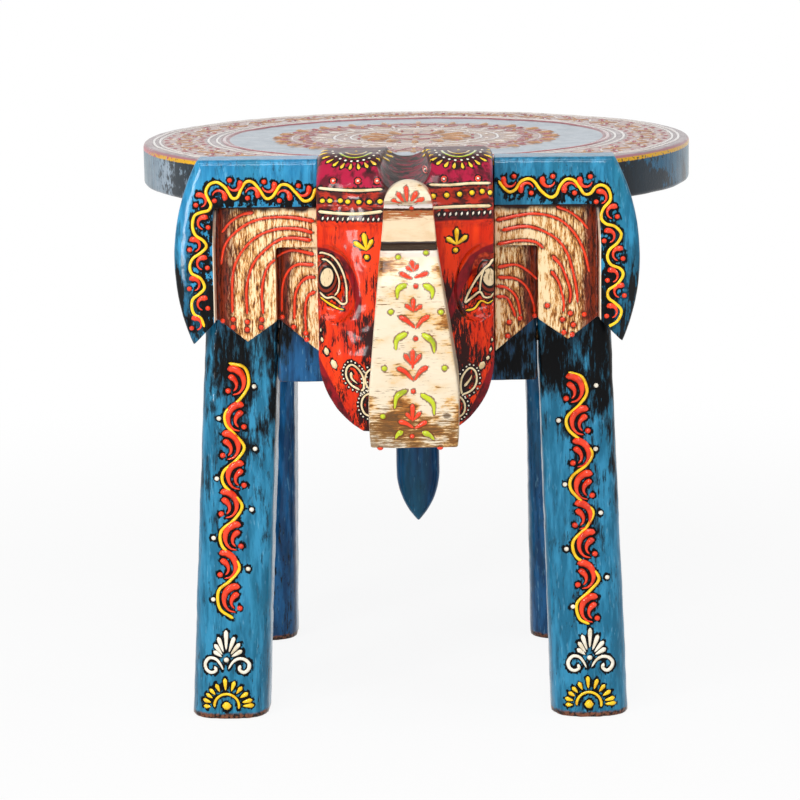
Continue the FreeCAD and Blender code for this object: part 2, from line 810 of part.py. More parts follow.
def ear_solid(name):
    """The right ear board: its outline with scalloped lower edge, then two pleats cut back behind the border."""
    widest = head_half + ear_reach
    shoulder = widest - named("ear_shoulder")
    tip_level = ear_top - named("ear_height")
    band_edge = widest - named("ear_band_width")
    outer_pleat = named("outer_pleat_width")
    pleat_edge = band_edge - outer_pleat
    height = named("ear_height")
    ear_round = named("ear_round")
    side_bulge_share = 0.115
    tip_inset_share = 0.4
    notch_share = 0.13
    scallop_share = 0.01
    root_drop_share = 0.05
    tip_reach = widest - named("ear_band_width") * tip_inset_share
    outline = [
        (head_half, ear_top),
        (shoulder, ear_top, height * side_bulge_share),
        (tip_reach, tip_level),
        (band_edge, tip_level + height * notch_share),
        (band_edge - outer_pleat / 2, tip_level + height * scallop_share),
        (pleat_edge, tip_level + height * notch_share),
        (head_half, tip_level - height * root_drop_share),
    ]
    body = doc.addObject("PartDesign::Body", name + "_body")
    board = body.newObject("PartDesign::Pad", name + "_board")
    board.Profile = body_sketch(body, "front", outline, front_plane)
    bind(board, Length=ear_thickness)

    border_face = -front_plane - ear_thickness
    floor = border_face + named("pleat_depth")
    crest = floor - named("pleat_rise")
    pleats_top = ear_top - named("ear_band_height")
    past_face = border_face - overrun
    past_head = head_half - overrun
    inner_top = pleats_top - named("inner_pleat_top")
    # Wedges seen from above: deepest beside their outer edge, rising towards their inner one. Above
    # the inner pleat the panel stays level with the crest of the outer one.
    for number, (outer, inner, outer_floor, top, drop) in enumerate((
        (band_edge, pleat_edge, floor, pleats_top, height),
        (pleat_edge, past_head, floor, inner_top, height),
        (pleat_edge, past_head, crest, pleats_top, named("inner_pleat_top")),
    )):
        wedge = [(outer, outer_floor), (inner, crest), (inner, past_face), (outer, past_face)]
        pleat = body.newObject("PartDesign::Pocket", "%s_pleat_%d" % (name, number))
        pleat.Profile = body_sketch(body, "plan", wedge, top)
        bind(pleat, Length=drop)

    def on_border_rim(edge):
        return all(
            abs(vertex.Y - border_face.value) < TOUCH
            and (vertex.Z > ear_top.value - TOUCH or vertex.X > tip_reach.value - TOUCH)
            for vertex in edge.Vertexes
        )

    return round_edges(name, body, ear_round, on_border_rim)


def mirrored(name, source):
    """The same solid on the other side of the middle plane."""
    twin = doc.addObject("Part::Mirroring", name)
    twin.Source = source
    twin.Normal = Vector(1, 0, 0)
    return twin


# The trunk


def trunk_solid():
    """The trunk: sawn to its side profile, then to its taper as seen from the front."""
    shoulder_share = 0.26
    brow_share = 0.25
    brow_bulge_share = 0.25
    lip_share = 0.5
    cove_share = 0.2
    belly_share = 0.05
    flare_share = 0.03
    waist_share = 0.17
    front = -trunk_front
    back = -face_plane
    coped_back = back + named("trunk_cope_depth")
    top = trunk_bottom + named("trunk_height")
    tip_front = front + named("trunk_tip_back")
    tip_back = tip_front + named("trunk_tip_depth")
    ledge = top - named("trunk_tip_height")
    hollow = named("trunk_hollow_depth")
    lip = ledge - named("trunk_hollow_height")
    free_back = back - named("trunk_gap")
    seat_end = trunk_bottom + trunk_seat_height
    tip_round = named("trunk_tip_depth") / 2
    # The front swells from the lip under the hollow to its fullest at the shoulder.
    brow = tip_front - hollow * brow_share
    shoulder = trunk_bottom + named("trunk_height") * shoulder_share
    profile = [
        (coped_back, trunk_bottom),
        (coped_back, seat_end),
        (back, seat_end),
        (free_back, seat_end + named("trunk_gap")),
        (tip_back, ledge),
        (tip_back, top - tip_round, -tip_round * QUARTER_ARC_SHARE),
        (tip_back - tip_round, top, -tip_round * QUARTER_ARC_SHARE),
        (tip_front, top - tip_round),
        (tip_front, ledge + hollow * lip_share),
        (tip_front + hollow, ledge, hollow * cove_share),
        (tip_front + hollow, lip),
        (brow, lip - hollow * lip_share, (front - brow) * brow_bulge_share),
        (front, shoulder, -hollow * belly_share),
        (front + hollow * cove_share, trunk_bottom),
    ]
    width = named("trunk_root_width") + overrun * 2
    side_form = loose_prism("trunk_side_form", "side", profile, width, trunk_x - width / 2)

    root_half = named("trunk_root_width") / 2
    tip_half = named("trunk_tip_width") / 2
    flare = root_half * flare_share
    waist = ledge - named("trunk_hollow_height")
    waist_half = tip_half + (root_half - tip_half) * waist_share
    # Above the shoulder it leans to the left.
    upper_x = trunk_x - named("trunk_lean")
    taper = [
        (trunk_x - root_half + flare, trunk_bottom),
        (trunk_x + root_half - flare, trunk_bottom, -flare),
        (trunk_x + root_half - flare, shoulder),
        (upper_x + waist_half, waist),
        (upper_x + tip_half, ledge, -tip_half * QUARTER_ARC_SHARE),
        (upper_x, top, -tip_half * QUARTER_ARC_SHARE),
        (upper_x - tip_half, ledge),
        (upper_x - waist_half, waist),
        (trunk_x - root_half + flare, shoulder, -flare),
    ]
    cope_depth = named("trunk_cope_depth") + overrun
    depth = named("trunk_reach") + cope_depth + overrun
    front_form = loose_prism("trunk_front_form", "front", taper, depth, face_plane - cope_depth)
    sawn = doc.addObject("Part::Common", "trunk_sawn")
    sawn.Base = side_form
    sawn.Tool = front_form

    def along_front_side(edge):
        first, last = edge.Vertexes[0], edge.Vertexes[-1]
        return max(first.Y, last.Y) < tip_front.value - TOUCH and abs(first.X - last.X) < root_half.value

    rounded = round_edges("trunk_rounded", sawn, named("trunk_edge_round"), along_front_side)
    # Its root is coped to the curve of the face.
    return cut("trunk_solid", rounded, [doc.getObject("head_turned_form")])


# The tail


def tail_solid():
    """The tail: a flat bar drawn in to a point, with its long edges rounded."""
    swell_share = 0.3
    half = named("tail_width") / 2
    tip = named("tail_tip_height")
    shoulder = tip + named("tail_point")
    outline = [
        (-half, tail_top),
        (-half, shoulder, -half * swell_share),
        (0, tip, -half * swell_share),
        (half, shoulder),
        (half, tail_top),
    ]
    body = doc.addObject("PartDesign::Body", "tail_bar")
    pad = body.newObject("PartDesign::Pad", "tail_pad")
    pad.Profile = body_sketch(body, "front", outline, -rear_plane)
    bind(pad, Length=tail_thickness)
    pad.Reversed = True

    def along_tail(edge):
        first, last = edge.Vertexes[0], edge.Vertexes[-1]
        on_one_side = first.X * last.X > -TOUCH
        return on_one_side and abs(first.Y - last.Y) < TOUCH and abs(first.Z - last.Z) > TOUCH

    return round_edges("tail_solid", body, named("tail_round"), along_tail)


solids = dict(leg_solids)
solids.update(rail_solids)
solids.update(seat_boards)
solids["head_block"] = head_solid()
solids["ear_right"] = ear_solid("ear_right_solid")
solids["ear_left"] = mirrored("ear_left_solid", solids["ear_right"])
solids["trunk"] = trunk_solid()
solids["tail"] = tail_solid()
for label, solid in solids.items():
    keep(cut(label, solid, rods.holes[label]), label)

for label, group in (
    ("rail_dowels", rail_dowels),
    ("leg_dowels", leg_dowels),
    ("seat_dowels", seat_dowels),
    ("trunk_dowels", trunk_dowels),
    ("head_screws", head_screws),
    ("ear_nails", ear_nails),
    ("tail_screw", [tail_screw]),
):
    bundle = doc.addObject("Part::Compound", label)
    bundle.Links = group
    keep(bundle, label)

doc.recompute()
for piece in doc.Objects:
    if "Invalid" in piece.State or "Error" in piece.State:
        raise RuntimeError("%s is %s" % (piece.Label, piece.State))
for piece in parts:
    if piece.Shape.isNull() or not piece.Shape.isValid():
        raise RuntimeError("%s has no valid shape" % piece.Label)

os.makedirs("parts", exist_ok=True)
for piece in parts:
    piece.Shape.exportStep("parts/%s.step" % piece.Label)
    bounds = piece.Shape.BoundBox
    print("%-18s %2d solids %10.0f mm3  x %7.1f %7.1f  y %7.1f %7.1f  z %6.1f %6.1f" % (
        piece.Label, len(piece.Shape.Solids), piece.Shape.Volume,
        bounds.XMin, bounds.XMax, bounds.YMin, bounds.YMax, bounds.ZMin, bounds.ZMax,
    ))
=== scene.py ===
# The carved and painted elephant stool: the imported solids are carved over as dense, slightly uneven
# wood, and every painted ornament is a raised bead of paint laid on that wood.

import math

import bmesh
import bpy
import numpy as np
from mathutils import Matrix, Vector, noise
from mathutils.bvhtree import BVHTree
from mathutils.kdtree import KDTree


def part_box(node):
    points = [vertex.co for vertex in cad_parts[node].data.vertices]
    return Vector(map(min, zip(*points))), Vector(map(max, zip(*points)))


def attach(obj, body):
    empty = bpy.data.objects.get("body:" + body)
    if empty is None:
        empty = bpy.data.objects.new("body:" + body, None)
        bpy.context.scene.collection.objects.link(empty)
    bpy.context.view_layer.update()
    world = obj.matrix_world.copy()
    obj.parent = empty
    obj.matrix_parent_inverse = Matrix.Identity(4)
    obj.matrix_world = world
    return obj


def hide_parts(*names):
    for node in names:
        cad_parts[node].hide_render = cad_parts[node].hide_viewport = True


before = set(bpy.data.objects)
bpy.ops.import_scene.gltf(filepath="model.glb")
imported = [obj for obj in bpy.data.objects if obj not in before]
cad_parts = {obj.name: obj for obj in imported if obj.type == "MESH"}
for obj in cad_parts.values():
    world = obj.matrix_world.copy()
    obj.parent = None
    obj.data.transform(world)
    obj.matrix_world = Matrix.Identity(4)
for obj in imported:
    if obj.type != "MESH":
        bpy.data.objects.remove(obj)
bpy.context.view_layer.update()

MM = 0.001

# Where the seat is: its radius, its axis and its top, from the seat boards
seat_corners = [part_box("seat_board_" + side) for side in ("left", "middle", "right")]
SEAT_RADIUS = max(high.x for low, high in seat_corners) / MM
SEAT_AXIS = max(high.y for low, high in seat_corners) / MM - SEAT_RADIUS
SEAT_FRONT = min(low.y for low, high in seat_corners) / MM
SEAT_UNDER = min(low.z for low, high in seat_corners) / MM
SEAT_TOP = max(high.z for low, high in seat_corners) / MM

# The highest point of the stool
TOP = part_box("head_block")[1].z / MM

# The middle plane of the head and the base, which stand a little to the left of the seat
BASE_X = sum(corner.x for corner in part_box("head_block")) / 2 / MM


# Shader sums as ordinary expressions


class Value:
    """One shader value or colour, used in ordinary sums."""

    def __init__(self, finish, socket):
        self.finish, self.socket = finish, socket

    def sum(self, operation, *others):
        terms = dict(enumerate([self, *others]))
        return self.finish.node("ShaderNodeMath", {"operation": operation}, terms)

    def __add__(self, other):
        return self.sum("ADD", other)

    def __sub__(self, other):
        return self.sum("SUBTRACT", other)

    def __mul__(self, other):
        return self.sum("MULTIPLY", other)

    def __truediv__(self, other):
        return self.sum("DIVIDE", other)

    def __rsub__(self, other):
        return self.finish.node("ShaderNodeMath", {"operation": "SUBTRACT"}, {0: other, 1: self})

    def __abs__(self):
        return self.sum("ABSOLUTE")

    def most(self, other):
        return self.sum("MAXIMUM", other)

    def rise(self, low, high):
        """0 under low and 1 over high, with a soft climb between; high may be the smaller one."""
        settings = {"interpolation_type": "SMOOTHSTEP"}
        links = {"Value": self, "From Min": low, "From Max": high}
        if isinstance(low, (int, float)) and isinstance(high, (int, float)) and low > high:
            links.update({"From Min": high, "From Max": low})
            return 1 - self.finish.node("ShaderNodeMapRange", settings, links)
        return self.finish.node("ShaderNodeMapRange", settings, links)


# The share of clear varnish on painted wood, less where black was rubbed in, and how it bends light
VARNISH, RUBBED_OFF, VARNISH_IOR = 0.45, 0.35, 1.4

# How far a pattern is drawn out in x, y and z: along one of them, or not at all
GRAIN = {"y": (1, 6, 1), "z": (1, 1, 6), "all": (1, 1, 1)}


def tone(code):
    """A colour code as the linear colour that a shader takes."""
    parts = [int(code[k : k + 2], 16) / 255 for k in (0, 2, 4)]
    return [p / 12.92 if p <= 0.04045 else ((p + 0.055) / 1.055) ** 2.4 for p in parts] + [1.0]


class Finish:
    """A material under way: its nodes come from one call, and its sums from Value."""

    def __init__(self, name):
        self.material = bpy.data.materials.new(name)
        self.material.use_nodes = True
        self.nodes = self.material.node_tree.nodes
        self.links = self.material.node_tree.links
        self.surface = self.nodes["Principled BSDF"]
        place = self.node("ShaderNodeTexCoord", {}, {}, "Object")
        inputs = {0: place, "Scale": 1 / MM}
        self.place = self.node("ShaderNodeVectorMath", {"operation": "SCALE"}, inputs)
        split = self.node("ShaderNodeSeparateXYZ", {}, {0: self.place}, "X")
        self.x = split
        self.y = Value(self, split.socket.node.outputs["Y"])
        self.z = Value(self, split.socket.node.outputs["Z"])

    def node(self, kind, settings, inputs, output=0):
        made = self.nodes.new(kind)
        for name, value in settings.items():
            setattr(made, name, value)
        for name, value in inputs.items():
            self.feed(made.inputs[name], value)
        return Value(self, made.outputs[output])

    def feed(self, socket, value):
        """Gives a socket its value, its number or its colour, which is written as a code."""
        if isinstance(value, Value):
            self.links.new(value.socket, socket)
        else:
            socket.default_value = tone(value) if isinstance(value, str) else value

    def field(self, name):
        """A number that the mesh carries for each of its points, in millimetres."""
        return self.node("ShaderNodeAttribute", {"attribute_name": name}, {}, "Fac")

    def cloud(self, size, grain="all", detail=3.0, shift=0.0, rough=0.55):
        """Noise about 0.5 with spots about size mm across. grain is the axis along which they are
        drawn out, or how far in x, y and z."""
        inputs = {
            "Vector": self.place,
            "Location": (shift, shift * 1.7, shift * 2.3),
            "Scale": tuple(1 / (size * share) for share in GRAIN.get(grain, grain)),
        }
        moved = self.node("ShaderNodeMapping", {}, inputs)
        inputs = {"Vector": moved, "Scale": 1.0, "Detail": detail, "Roughness": rough}
        return self.node("ShaderNodeTexNoise", {}, inputs, "Fac")

    def blend(self, under, over, share):
        """The colour under, with over on it where share is 1."""
        inputs = {0: share, 6: under, 7: over}
        return self.node("ShaderNodeMix", {"data_type": "RGBA"}, inputs, 2)

    def lay(self, over, share):
        """Lays a colour over what the finish has so far, where share is 1."""
        self.colour = self.blend(self.colour, over, share)

    def relief(self, height, depth_mm):
        """A small unevenness that only the light sees."""
        inputs = {"Strength": 1.0, "Distance": depth_mm * MM, "Height": height}
        self.feed(self.surface.inputs["Normal"], self.node("ShaderNodeBump", {}, inputs))

    def done(self, roughness, coat=VARNISH, coat_roughness=0.07, metallic=0.0, specular=0.06):
        for name, value in (
            ("Base Color", self.colour), ("Roughness", roughness), ("Coat Weight", coat),
            ("Coat Roughness", coat_roughness), ("Coat IOR", VARNISH_IOR), ("Metallic", metallic),
            ("Specular IOR Level", specular),
        ):
            self.feed(self.surface.inputs[name], value)
        return self.material


# The finishes


SOOT = "08090B"
# Light and dark of each blue
SKY = ("3695C2", "2079A6")
SEA = ("3188AE", "176585")
TEAL = ("3F7088", "1A4A5E")
# The blue darkened as painted shade, for the pieces that stand in shadow: the rear legs, the front rail
# and the tail
SHADED_BLUE = ("1D5F92", "0C3D66")


def soot_mask(f, amount, shift):
    """Black antiquing: upright streaks, thick in some places and gone in others."""
    patches = f.cloud(30, "z", 3, shift)
    streaks = f.cloud(1.7, "z", 5, shift + 5, 0.75)
    level = 0.735 - (patches.rise(0.45, 0.66) * 0.24 + 0.05) * amount
    return streaks.rise(level - 0.035, level + 0.02)


def halo_mask(f, tight, ragged):
    """The black that lies round each raised bead of paint, up to tight and ragged mm wide."""
    edge = f.cloud(2.0, (1, 1, 2.2), 4, 9, 0.65)
    far = edge.rise(0.38, 0.66) * ragged + tight
    return 1 - (f.field("ink") - far).rise(-0.15, 0.3)


def hollow_mask(f):
    return f.field("crest").rise(-0.02, -0.10)


def lay_blue(f, soot, shift, blues):
    """Blue paint in upright strokes, with as much black on it as soot says."""
    streak = f.cloud(4, "z", 4, shift + 2)
    wide = f.cloud(26, "z", 2, shift + 11)
    f.colour = f.blend(blues[0], blues[1], streak.rise(0.36, 0.62))
    f.lay("1C6E86", wide.rise(0.52, 0.7) * 0.6)
    f.lay("7FBBD6", f.cloud(1.5, "z", 3, shift + 21).rise(0.6, 0.74) * 0.35)
    f.lay("123A4C", f.cloud(2.6, "z", 4, shift + 31, 0.7).rise(0.54, 0.7) * 0.55)
    f.lay(SOOT, soot_mask(f, soot, shift))


def blue_enamel(name, soot, shift, blues, soot_and_shade_top=None, middle=0.0):
    """A height may be given at which the piece is nearly all black, from soot and from painted shade
    under what is over it. Below it the black comes down in streaks, more of them to the right of
    middle, where painted shade stands for the side turned from the light."""
    f = Finish(name)
    lay_blue(f, soot, shift, blues)
    black = hollow_mask(f).most(halo_mask(f, 0.4, 1.3))
    if soot_and_shade_top:
        # Soot and painted shade: black runs that thicken towards the given height and to the right of
        # middle
        runs = f.cloud(2.4, "z", 5, shift + 61, 0.75) * 0.7
        runs = runs + f.cloud(13, (1, 1, 2.2), 3, shift + 66) * 0.7
        runs = runs + f.z.rise(soot_and_shade_top - 100, soot_and_shade_top) * 0.165
        runs = runs + (f.x - middle).rise(-16, 12) * f.z.rise(60, 160) * 0.07
        f.lay("0E2C3A", runs.rise(0.78, 0.86) * 0.8)
        black = black.most(runs.rise(0.85, 0.92))
    f.lay(SOOT, black)
    worn = f.field("crest").rise(0.05, 0.14) * f.cloud(3, "z", 3, 40).rise(0.52, 0.6)
    f.lay("5A3A26", worn * 0.7)
    foot = (f.z + f.cloud(4, "all", 3, 44) * 3).rise(5.6, 4.0)
    f.lay(f.blend("7A4A34", "1A120E", f.cloud(2, "all", 3, 48).rise(0.4, 0.6)), foot)
    f.relief(f.cloud(2.0, "z", 4, 3, 0.6), 0.3)
    return f.done(f.cloud(12, "z", 2, 7) * 0.25 + 0.2, VARNISH - black * RUBBED_OFF)


def ear_finish(name, side):
    """Blue border round a cream panel of pleats, each pleat browner the deeper it is carved."""
    f = Finish(name)
    drift = 60 if side > 0 else 0
    low = f.z.rise(262, 222)
    blues = SEA if side > 0 else SKY
    lay_blue(f, low * 0.7 + 0.3, drift, blues)
    deep = f.field("depth")
    grain = f.cloud(0.9, "z", 5, 4 + drift, 0.75)
    streak = f.cloud(2.4, "z", 3, 14 + drift)
    marks = f.cloud(7, (1, 1, 2.5), 3, 19 + drift)
    worn = grain * 0.75 + streak * 0.3 + deep.rise(1.0, 7.0) * 0.06 + 0.01
    worn = worn + f.field("ink").rise(3.2, 0.4) * 0.03
    panel = f.blend("F3DCAE", "D9A05A", worn.rise(0.54, 0.59))
    panel = f.blend(panel, "9A5A24", worn.rise(0.59, 0.64))
    panel = f.blend(panel, "45200C", worn.rise(0.645, 0.69))
    brown = f.blend("7E2A10", "2A0D06", grain.rise(0.42, 0.60))
    panel = f.blend(panel, brown, (deep + grain * 2.4 + marks * 2).rise(8.5, 10.0))
    # Painted shade: a dark band on the panel under the top border
    shade_under_border = (f.z + marks * 7).rise(281.8 if side > 0 else 282.8, 285.4)
    panel = f.blend(panel, "260C07", shade_under_border)
    panel = f.blend(panel, "5A1E0C", f.field("ink").rise(1.1, 0.2) * grain.rise(0.35, 0.5))
    # Black lies close round the beads, and wide between them and the panel
    inside = f.field("panel")
    spread = f.cloud(3.4, (1, 1, 2), 4, 29 + drift, 0.7).rise(0.44, 0.56) * 3.0 + low * 2.0
    near = inside.rise(8.5, 4.5) * spread
    brush = f.cloud(1.7, (1, 1, 2.6), 4, 9, 0.65)
    reach = brush.rise(0.42, 0.68) * (low + 1.3) + near + 0.6
    black = 1 - (f.field("ink") - reach).rise(-0.15, 0.3)
    f.lay(SOOT, black)
    # The blue goes dark in streaks, and as painted shade towards the tip and the outer edge, where the
    # border curves away
    outer = f.field("outer").rise(-13, -2) * f.z.rise(285, 235)
    streaks_and_edge_shade = outer * 0.34 + f.cloud(2.4, "z", 4, 57 + drift, 0.7) * 0.9
    f.lay("12485E", streaks_and_edge_shade.rise(0.50, 0.66) * 0.75)
    f.lay(SOOT, streaks_and_edge_shade.rise(0.70, 0.77))
    f.lay(panel, inside.rise(0.1, -0.1))
    # The wall between border and panel: its cream lightened as a painted highlight, and dark at its top
    # as painted shade under the border
    wall_highlight_and_shade = inside.rise(-0.75, -0.45) * inside.rise(0.35, 0.05)
    f.lay(f.blend("F8EBD2", "1A0A06", f.z.rise(279, 281)), wall_highlight_and_shade)
    rubbed = f.cloud(3, "all", 3, 52).rise(0.35, 0.5)
    f.lay("241410", hollow_mask(f) * rubbed * 0.85)
    f.relief(f.cloud(1.6, "z", 4, 3, 0.6), 0.3)
    varnish = VARNISH - black * inside.rise(-0.1, 0.1) * RUBBED_OFF
    return f.done(f.cloud(10, "z", 2, 7) * 0.25 + 0.2, varnish)


def head_finish(name):
    f = Finish(name)
    grain = f.cloud(1.3, "z", 5, 4, 0.75)
    patch = f.cloud(14, (1, 1, 2), 3, 8)
    face = f.blend("EE3D0C", "D02808", f.cloud(9, "z", 3, 2).rise(0.4, 0.65))
    face = f.blend(face, "A81C08", f.cloud(3, "z", 4, 12, 0.7).rise(0.5, 0.66) * 0.7)
    low = f.z.rise(262, 215)
    # The face has dark streaks, most of all beside the trunk
    off = abs(f.x - (BASE_X + 4.5))
    beside = off.rise(36, 22) * f.z.rise(262, 240)
    dark_streaks = grain * 0.7 + patch * 0.5 + low * 0.05 + beside * 0.11
    face = f.blend(face, "2A0705", dark_streaks.rise(0.665, 0.74))
    brow = f.z.rise(291, 296)
    wine = f.cloud(6, (1, 1, 2), 4, 6)
    maroon = f.blend("8C0D18", "4A0810", wine.rise(0.42, 0.62))
    maroon = f.blend(maroon, f.blend("AC0F3A", "5C0B1E", wine.rise(0.45, 0.62)), brow)
    maroon = f.blend(maroon, "1E0708", (f.z * 0.05 + wine).rise(15.76, 15.86) * 0.85)
    maroon = f.blend(maroon, "22060C", (grain * 0.7 + patch * 0.45).rise(0.66, 0.74))
    band = f.blend("B02A14", "4A120C", f.cloud(3, (2.5, 2, 1), 4, 16).rise(0.42, 0.6))
    dash = f.blend("6E1216", "2C0A0A", f.cloud(3, (2, 2, 1), 3, 18).rise(0.4, 0.6))
    waver = f.cloud(14, "all", 2, 26) * 1.6 - 0.8
    level = f.z + waver
    # Maroon brows and cheek strips; on the brows it also paints the shade on the upper side of each eye
    # hollow
    f.colour = f.blend(face, maroon, f.field("maroon").rise(0.3, -0.3))
    f.lay(dash, level.rise(278.6, 279.8))
    f.lay(band, level.rise(283.6, 284.2))
    f.lay(maroon, level.rise(296.2, 296.8))
    cleft = f.field("cleft")
    rock = f.blend("42201B", "1A0A09", f.cloud(5, (1, 1, 2), 4, 36).rise(0.4, 0.62))
    smear = f.cloud(2.6, (2.5, 1, 1), 3, 39) + off.rise(9, 2) * 0.1
    rock = f.blend(rock, "7C1028", smear.rise(0.56, 0.64))
    f.lay(rock, (cleft + waver * 2).rise(2.5, -1.5))
    eye = f.field("eye")
    iris = f.blend("C6401C", "7A1A0E", f.cloud(3, "all", 3, 42).rise(0.4, 0.6))
    f.lay(iris, eye.rise(2.62, 2.5))
    for ring, edge in (("1C0906", 1.80), ("7E2A16", 1.56), ("0C0808", 1.24)):
        f.lay(ring, eye.rise(edge + 0.06, edge))
    pupil = f.blend("E2CBA2", "7A5E3A", (grain + eye.rise(0.6, 0.1) * 0.1).rise(0.54, 0.68))
    f.lay(pupil, eye.rise(1.0, 0.94))
    f.lay("16090A", halo_mask(f, 0.25, 0.9))
    f.lay("1C0505", hollow_mask(f))
    f.relief(f.cloud(2.2, "z", 4, 3, 0.6), 0.2)
    dull = cleft.rise(2.5, -1.5).most(f.z.rise(304, 309))
    varnish = f.z.rise(276, 282) * 0.2 + 0.35 - dull * VARNISH
    return f.done(f.cloud(10, "z", 2, 7) * 0.22 + 0.2, varnish)


def trunk_finish(name):
    """Cream, rubbed brown along the saw marks, with a dark groove under the smooth band."""
    f = Finish(name)
    line = f.cloud(0.75, (10, 3, 1), 4, 4, 0.7)
    fine = f.cloud(0.5, (5, 3, 1), 3, 14, 0.6)
    patch = f.cloud(9, (1.6, 1, 1), 4, 8)
    front = f.field("front")
    f.colour = f.blend("E0D0B6", "D8BC92", patch.rise(0.4, 0.7))
    # Stain gathers in patches, most of all low on the left and above the top flower
    low = f.z.rise(206, 180)
    gather = patch * 0.75 + line * 0.35 + low * 0.15 + f.z.rise(252, 262) * f.z.rise(268, 262) * 0.12
    f.lay("DDAE6C", gather.rise(0.60, 0.68) * front)
    f.lay("9A5F26", (gather + fine * 0.1).rise(0.70, 0.76) * front)
    f.lay("4A2A12", (gather + line * 0.25).rise(0.86, 0.93) * front)
    f.lay("8A5A2C", line.rise(0.57, 0.66) * patch.rise(0.36, 0.52) * front * 0.7)
    f.lay("5A3C1E", line.rise(0.64, 0.69) * patch.rise(0.40, 0.55) * front)
    lower_edge = line * 1.1 + patch * 0.3 + f.z.rise(196, 179) * 0.2
    lower_edge = lower_edge + (f.x - BASE_X).rise(8, -10) * f.z.rise(212, 192) * 0.06
    f.lay("6A4A28", lower_edge.rise(0.80, 0.92) * front * 0.8)
    smooth = f.z.rise(271, 272) * f.z.rise(288, 287)
    f.lay(f.blend("E4CCAA", "D8BA92", f.cloud(6, (2, 1, 1), 3, 18).rise(0.4, 0.7)), smooth)
    # A painted highlight on the ledge with a line of painted shade under it, then a rubbed brown band
    level = f.z + line * 1.6 - 0.8
    rubbed = level.rise(281.6, 284.2) * level.rise(288.6, 288.0)
    rubbed = rubbed * (line + level.rise(282, 287) * 0.16).rise(0.5, 0.58)
    f.lay(f.blend("A8683A", "B8401C", fine.rise(0.55, 0.62)), rubbed)
    f.lay("E9DFDA", level.rise(288.6, 289.0) * level.rise(291.4, 290.8) * front)
    f.lay("3A1A10", level.rise(287.4, 287.7) * level.rise(288.9, 288.6))
    # Painted shade in the groove under the smooth hollow, and a painted highlight on the pale edge
    # below it
    f.lay("D6CBC6", level.rise(264.8, 265.8) * level.rise(269.0, 268.4) * 0.6)
    f.lay("20100C", (f.z + line * 0.8).rise(268.6, 268.9) * (f.z + line * 0.8).rise(272.7, 272.3))
    aside, above = f.x - (BASE_X + 21.0), f.z - 186.8
    knot = (aside * aside * 0.4 + above * above).sum("SQRT") + fine * 1.2
    f.lay("4A3016", knot.rise(2.3, 1.5) * front * 0.8)
    f.lay("6A3A18", halo_mask(f, 0.1, 0.6) * 0.8)
    side = (f.x - BASE_X).rise(11.0, 13.0) * f.z.rise(280, 284) * (1 - front)
    f.lay("D8401C", side)
    f.relief(line * 0.7 + fine * 0.3, 0.3)
    return f.done(f.cloud(10, (3, 1, 1), 2, 7) * 0.25 + 0.2)


